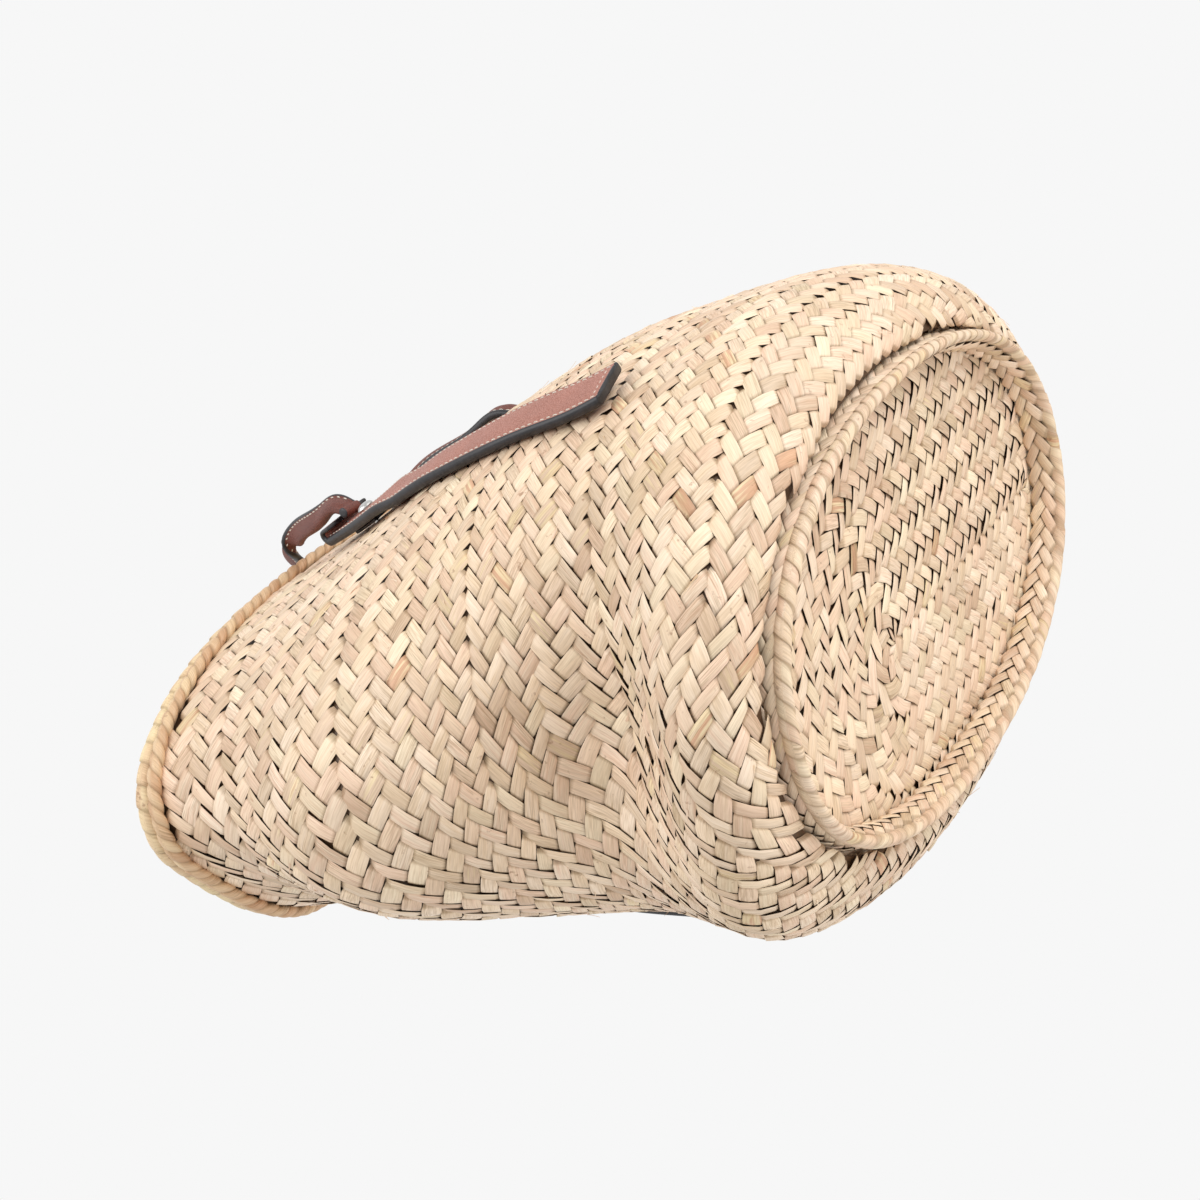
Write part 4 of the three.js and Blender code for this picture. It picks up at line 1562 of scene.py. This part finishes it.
class WovenBody:
    """Plaited wall and base, with the foot ring and the two rim cords."""

    CORE_SIDES = 144
    CORE_ROWS = 56
    CORE_TOP = 8.0
    CORE_ENDS = 9.0
    CORE_SINKS = (1.9, 3.2)
    BASE_CORE_SIDES = 96
    BASE_COLUMNS = 18
    BASE_COURSE = 4
    BASE_WIDTH = 7.15
    BASE_PITCH = 9.0
    STRIP_PITCH = 8.3

    def __init__(
        self, shape: BodyShape, maker: MeshMaker, rng: np.random.Generator, finishes: FinishSet
    ) -> None:
        """Measure the wall, lay out its leaves and keep the makers."""
        self.shape, self.maker, self.rng, self.finishes = shape, maker, rng, finishes
        self.wall = WallMap(shape)
        self.inside = WallMap(shape, sink=shape.wall_thickness, inward=True)
        self.plaiter = Plaiter(maker, rng)
        self.ropes = RopeMaker(maker, rng)
        self.leaves = PlaitPlan().leaves(self.wall, self.plaiter)

    def build(self) -> list[Made]:
        """Make every woven and wrapped piece."""
        return [
            self.wall_weave(),
            self.wall_core(),
            self.wall_lining(),
            self.base_face("base_weave", BaseMap(13.7, False), ("base_braid",)),
            self.base_face("base_inner_weave", BaseMap(18.2, True), ()),
            self.base_core(),
            *self.foot_ring(),
            *self.rim(),
            self.loose_fibres(),
        ]

    def woven(
        self,
        name: str,
        place: Surface,
        leaves: Leaves,
        nodes: tuple[str, ...] = (),
        form: FloatForm = FloatForm(),
    ) -> Made:
        """Lay one piece of pale plait."""
        return self.plaiter.lay(name, place, leaves, form, self.finishes.leaf), nodes, "leaf_plait"

    def wall_weave(self) -> Made:
        """Outer face of the wall."""
        return self.woven("wall_weave", self.wall.place, self.leaves, ("wall_braid",))

    def wall_lining(self) -> Made:
        """Inner face of the wall, laid with fewer faces."""
        leaves = PlaitPlan(rim_margin=7.0).leaves(self.inside, self.plaiter)
        form = FloatForm(lengths=(-1.2, -1.0, -0.5, 0.5, 1.0, 1.2), widths=(-1.0, 0.0, 1.0), skirt=0.3)
        return self.woven("wall_inner_weave", self.inside.place, leaves, form=form)

    def hidden(self, name: str, points: Array, faces: Array) -> Made:
        """Make a piece of hidden leaf in the dark finish, which paints the shade seen through the gaps
        between floats.
        """
        count = len(points)
        leaf = np.stack([self.rng.random(count), np.full(count, 0.6), np.zeros(count)], -1)
        piece = self.maker.build(name, points, faces, [self.finishes.shade], leaf=leaf, uv=np.zeros(2))
        return piece, (), "leaf_plait"

    def wall_core(self) -> Made:
        """Hidden layers of leaf between the two faces of the wall, coloured dark as painted shade behind the
        gaps.
        """
        angles = np.linspace(0, TURN, self.CORE_SIDES + 1)[:-1]
        share = np.linspace(0, 1, self.CORE_ROWS)[None]
        depth = self.CORE_TOP + (self.wall.reach(angles) - self.CORE_ENDS)[:, None] * share
        points, out = self.wall.place(np.broadcast_to(angles[:, None], depth.shape), depth)
        near, far = (points - out * sink for sink in self.CORE_SINKS)
        ring = np.concatenate([near, far[:, ::-1]], axis=1)
        faces = grid_faces(*ring.shape[:2], around=True, closed=True)
        flat, tested = ring.reshape(-1, 3), 10
        faces = outward(flat, faces, tested, flat[faces[tested][0]] * [1, 1, 0])
        return self.hidden("wall_core", flat, faces)

    def base_core(self) -> Made:
        """Hidden layers of leaf inside the base, coloured dark as painted shade behind the gaps."""
        count = self.BASE_CORE_SIDES
        angle = np.arange(count) / count * TURN
        low = [(grow, 15.6) for grow in (-150, -80, -30, 3)]
        rows = []
        for grow, z in low + [(grow, 16.5) for grow, _ in reversed(low)]:
            half = [max(size + grow, 0.5) for size in self.shape.ring_half]
            x, y = oval(angle, half, self.shape.ring_power)
            rows.append(np.stack([x, y, np.full_like(x, z)], -1))
        flat = np.concatenate(rows)
        faces = grid_faces(len(rows), count, around=True)
        return self.hidden("base_core", flat, outward(flat, faces, count, np.array([0.0, 0.0, -1.0])))

    def base_face(self, name: str, flat: BaseMap, nodes: tuple[str, ...]) -> Made:
        """One face of the flat oval base."""
        parts, middles = [], []
        width, course = self.BASE_WIDTH, self.BASE_COURSE
        half = np.array(self.shape.ring_half) + 2
        for column in range(self.BASE_COLUMNS):
            depth = (column + 0.5) * width
            # the floats of a course share one middle line, so that they meet round the turns
            middle = width * (course // 2 + course * (column // course))
            lap = 4 * flat.seam_half + TURN * middle
            count = round(lap / self.BASE_PITCH)
            if column % course == 0:
                strands = self.plaiter.strands(count)
            pitch = lap / count
            along = (np.arange(count) + 0.5 * (column % 2)) * pitch
            # the strip is as wide as on the wall, so every eighth column is sewn to the next
            edge = {0: -1.0, 7: 1.0}.get(column % PlaitPlan.columns, 0.0)
            floats = self.plaiter.column(strands, column % course, along, depth, pitch, width, seam=edge)
            points, _ = replace(flat, middle=middle).place(along, np.full(count, depth))
            keep = np.sum(np.abs(points[:, :2] / half) ** self.shape.ring_power, axis=1) < 1
            parts.append(floats.chosen(keep))
            middles.append(np.full(keep.sum(), middle))
        spiral = replace(flat, middle=each(np.concatenate(middles)))
        return self.woven(name, spiral.place, Leaves.joined(parts), nodes)

    def ring_line(self, inset: float, height: float) -> Line:
        """Line inside the foot of the wall, for cords that lie flat.

        Args:
            inset: Distance inside the outline of the ring.
            height: Height over the floor.

        Returns:
            A function from angles to centres, side and top directions.
        """

        def line(angle: Array) -> tuple[Array, Array, Array]:
            n, half = self.shape.ring_power, self.shape.ring_half
            flat = oval(angle, [size - inset for size in half], n)
            slopes = (np.abs(v / size) ** (n - 1) * np.sign(v) / size for v, size in zip(flat, half))
            side = unit(np.stack([*slopes, np.zeros_like(flat[0])], -1))
            top = np.zeros_like(side)
            top[..., 2] = 1.0
            return np.stack([*flat, np.full_like(flat[0], height)], -1), side, top

        return line

    def cord(
        self,
        name: str,
        line: Line,
        form: RopeForm,
        finish: Material,
        tones: tuple[float, float],
        nodes: tuple[str, ...],
    ) -> Made:
        """Make one wrapped or twisted cord."""
        return self.ropes.make(name, line, form, finish, tones), nodes, "leaf_cord"

    def foot_ring(self) -> list[Made]:
        """Wrapped cord that the basket stands on, between two standing strips of plait."""
        # painted shade: the cord inside the ring is laid in the dark painted-shade finish, so the recess
        # over the foot cord looks shaded
        pale, dark = self.finishes.leaf, self.finishes.shade
        cord = RopeForm(half=(2.5, 3.4), strands=2, spacing=6.6, depth=0.05, lap=0.1, wander=0.4, sides=16)
        body = RopeForm(half=(1.4, 3.4), strands=1, spacing=9.0, depth=0.1, sides=12)
        return [
            self.cord("foot_ring_cord", self.ring_line(4.2, 3.5), cord, pale, (0.4, 0.25), ("foot_ring",)),
            self.cord("foot_ring_wall", self.ring_line(5.6, 9.6), body, dark, (0.5, 0.2), ()),
            self.foot_strip("foot_ring_strip", -1.0, 7.4, 4.0, 4.6),
            self.foot_strip("foot_ring_outer_strip", 1.0, 3.3, 5.2, 4.4),
        ]

    def foot_strip(self, name: str, way: float, inset: float, height: float, width: float) -> Made:
        """Narrow strip of two columns that stands on edge along the ring.

        Args:
            name: Piece name.
            way: 1 for a strip that faces out of the ring, -1 for one that faces in.
            inset: Distance inside the outline of the ring, in millimetres.
            height: Height of its lower edge over the floor.
            width: Width of one column.

        Returns:
            The piece, the nodes it replaces and its slot.
        """
        line_at = self.ring_line(inset, 0.0)
        fine = np.linspace(0, TURN, LINE_STEPS + 1)
        arc = run_of(line_at(fine)[0])
        total = arc[-1]

        def place(along: Array, depth: Array) -> tuple[Array, Array]:
            points, side, top = line_at(np.interp(along % total, arc, fine))
            lifted = points + top * (height + depth)[..., None]
            return lifted + way * 0.25 * side * depth[..., None], way * side

        count = round(total / self.STRIP_PITCH)
        strands = self.plaiter.strands(count)
        parts = []
        for column in range(2):
            along = (np.arange(count) + 0.5 * column) * total / count
            depth = width * (0.5 + column)
            parts.append(self.plaiter.column(strands, column, along, depth, total / count, width))
        form = FloatForm(seat=-0.2, tuck=0.9)
        return self.woven(name, place, Leaves.joined(parts), form=form)

    def rim_line(self, drop: float, lift: float) -> Line:
        """Line round the rim at a distance down the wall and out of it."""

        def line(angle: Array) -> tuple[Array, Array, Array]:
            down = np.full(np.shape(angle), drop)
            points, out = self.wall.place(angle, down)
            ahead, _ = self.wall.place(np.asarray(angle) + 0.01, down)
            return points + out * lift, out, unit(np.cross(out, unit(ahead - points)))

        return line

    def rim(self) -> list[Made]:
        """Rim cord, wrapped with broad leaf, and the twisted two ply strand under it."""
        cord = RopeForm(half=(4.7, 4.7), strands=1, spacing=8.6, depth=0.05, lap=0.1)
        top = self.rim_line(4.6, 1.5 - self.shape.wall_thickness / 2)
        strand = RopeForm(half=(2.9, 3.3), strands=2, spacing=6.6, depth=0.24, lap=0.05, sides=16)
        low, finish = self.rim_line(12.3, 1.7), self.finishes.cord
        return [
            self.cord("rim_cord_wrap", top, cord, finish, (0.22, 0.2), ("rim_cord",)),
            self.cord("rim_strand_twist", low, strand, finish, (0.72, 0.2), ("rim_strand",)),
        ]

    def loose_fibres(self, count: int = 170, steps: int = 6) -> Made:
        """Slivers that have split from leaf edges and stand off the wall a little.

        Args:
            count: Slivers on the whole wall.
            steps: Points along each sliver.

        Returns:
            The piece, the nodes it replaces and its slot.
        """
        rng = self.rng
        leaves = self.leaves.chosen(rng.choice(len(self.leaves.along), count, replace=False))

        def drawn(low: float, high: float) -> Array:
            return each(rng.uniform(low, high, count))

        s = np.linspace(0, 1, steps)[None, :, None]
        side = np.array([-1.0, 1.0])[None, None, :]
        run = drawn(-0.2, 0.5) + s * drawn(0.4, 1.1) * np.sign(drawn(-1, 1))
        off = drawn(-0.32, 0.32) + drawn(-0.4, 0.4) * s**2 + side * drawn(0.02, 0.05) * (1.05 - s)
        along, depth, _ = leaves.spots(run, off)
        points, normals = self.wall.place(along, np.maximum(depth, 9.0))
        points = points + normals * (0.15 + drawn(0.4, 2.2) * s**1.5 + 0.08 * side)[..., None]
        faces = copied(grid_faces(steps, 2), count, 2 * steps)
        leaf = np.concatenate([drawn(0.0, 1.0), drawn(0.5, 0.8), drawn(0.0, 1.0)], axis=-1)[:, :, None]
        uv = np.stack(np.broadcast_arrays(side * 0.4, s * 9.0), axis=-1)
        piece = self.maker.build("wall_loose_fibres", points, faces, [self.finishes.leaf], leaf=leaf, uv=uv)
        return piece, (), "leaf_plait"


@dataclass(frozen=True)
class Paper(Finish):
    """Matt paper of the studio's floor: uncoated, pale, and open to light and sight from below."""

    name: str = "matt_paper"
    colour: str = "#F4F3F1"
    glow: str = PALE
    strength: float = 0.1
    roughness: float = 0.9

    def inputs(self, tree: Tree, place: Socket) -> dict[str, object]:
        """Let rays from below, shadow rays and bounced light through."""
        path = add(tree, "LightPath").outputs
        clear = add(tree, "NewGeometry").outputs["Backfacing"]
        for ray in ("Is Shadow Ray", "Is Diffuse Ray"):
            clear = add(tree, "Math", {0: clear, 1: path[ray]}, operation="MAXIMUM")
        both = {0: clear, 1: tree.nodes["Principled BSDF"], 2: add(tree, "BsdfTransparent")}
        feed(tree, tree.nodes["Material Output"], {0: add(tree, "MixShader", both)})
        return {
            "Base Color": linear(self.colour),
            "Roughness": self.roughness,
            "Emission Color": linear(self.glow),
            "Emission Strength": self.strength,
        }


@dataclass(frozen=True)
class Lamp:
    """A soft square lamp: direction by the camera's axes, distance and size in metres, watts."""

    name: str
    parts: tuple[float, float, float]
    distance: float
    size: float
    watts: float


@dataclass(frozen=True)
class Studio:
    """Camera, plain pale floor and soft lamps."""

    right: tuple[float, float, float] = (0.45398, 0.24285, -0.85728)
    up: tuple[float, float, float] = (0.41095, -0.91076, -0.04037)
    back: tuple[float, float, float] = (-0.79058, -0.33397, -0.51326)
    eye_mm: tuple[float, float, float] = (-771.001, -321.514, -346.036)
    lens: float = 70.75
    ambient: float = 0.66
    target: tuple[float, float, float] = (0, 0, 0.14)
    lamps: tuple[Lamp, ...] = (
        Lamp("key_lamp", (0.35, 0.9, 0.55), 1.3, 0.8, 10.5),
        Lamp("fill_lamp", (-1.0, 0.1, 0.45), 1.4, 1.2, 10.0),
        Lamp("low_lamp", (0.9, -0.45, 0.4), 1.3, 1.0, 5.6),
    )

    def build(self, origin: Array) -> None:
        """Set up everything that isn't the basket."""
        bpy.context.scene.view_settings.view_transform = "Standard"
        self.camera(origin)
        self.world()
        self.floor()
        for lamp in self.lamps:
            self.light(lamp)

    def camera(self, origin: Array) -> None:
        """Camera at the photograph's viewing angle."""
        data = bpy.data.cameras.new("camera")
        data.lens, data.sensor_width, data.clip_start = self.lens, 36.0, 0.01
        camera = bpy.data.objects.new("camera", data)
        place = Matrix((self.right, self.up, self.back)).transposed().to_4x4()
        place.translation = Vector(((np.array(self.eye_mm) + origin) * MM).tolist())
        camera.matrix_world = place
        bpy.context.scene.collection.objects.link(camera)
        bpy.context.scene.camera = camera

    def light(self, lamp: Lamp) -> None:
        """Make one lamp, which looks at the middle of the basket."""
        data = bpy.data.lights.new(lamp.name, "AREA")
        data.energy, data.size = lamp.watts, lamp.size
        piece = bpy.data.objects.new(lamp.name, data)
        axes = (Vector(self.right), Vector(self.up), Vector(self.back))
        direction = sum((a * p for a, p in zip(axes, lamp.parts)), Vector()).normalized()
        piece.location = Vector(self.target) + direction * lamp.distance
        piece.rotation_euler = direction.to_track_quat("Z", "Y").to_euler()
        bpy.context.scene.collection.objects.link(piece)

    def world(self) -> None:
        """Pale backdrop for the eye, softer light for the basket."""
        world = bpy.data.worlds.new("studio")
        world.use_nodes = True
        bpy.context.scene.world = world
        tree = world.node_tree
        path = add(tree, "LightPath").outputs
        seen = path["Is Camera Ray"]
        for ray in ("Is Glossy Ray", "Is Transmission Ray"):
            seen = add(tree, "Math", {0: seen, 1: path[ray]}, operation="MAXIMUM")
        strength = add(tree, "MapRange", {0: seen, 3: self.ambient, 4: 1.0})
        feed(tree, tree.nodes["Background"], {"Color": linear(PALE), "Strength": strength})

    def floor(self) -> None:
        """Pale floor, which light and sight from below pass."""
        bpy.ops.object.select_all(action="DESELECT")
        bpy.ops.mesh.primitive_plane_add(size=8.0, location=(0, 0, 0))
        floor = bpy.context.object
        floor.name = "floor"
        floor.data.materials.append(Paper().make())


def enter(made: Sequence[Made], body: str) -> None:
    """Hang each piece on the body that it rides on, hide the nodes that it replaces and log its triangles.
    """
    for piece, nodes, slot in made:
        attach(piece, body)
        if nodes:
            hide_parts(*nodes)
        triangles = sum(len(p.vertices) - 2 for p in piece.data.polygons)
        LOG.info("%s: %d triangles on %s", piece.name, triangles, body)


def main() -> None:
    """Build the studio, the woven body, the leather and the metal, in that order."""
    logging.basicConfig(level=logging.INFO, format="%(name)s %(message)s")
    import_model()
    low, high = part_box("foot_ring")
    origin = np.array([(low[0] + high[0]) / 2, (low[1] + high[1]) / 2, 0.0]) / MM
    rng = np.random.default_rng(SEED)
    maker = MeshMaker(origin)
    Studio().build(origin)
    finishes = FinishSet()
    shape, tabs = BodyShape(), TabShape()
    enter(WovenBody(shape, maker, rng, finishes).build(), BODY)
    straps = StrapMaker(maker, rng)
    for face in Face:
        for end in End:
            enter(LeatherTab(TabLine(shape, tabs, face, end), straps, finishes).build(), BODY)
        handle = LeatherHandle(shape, tabs, face, straps, finishes)
        enter(handle.build(), f"{face.name.lower()}_handle_strap")


if __name__ == "__main__":
    main()
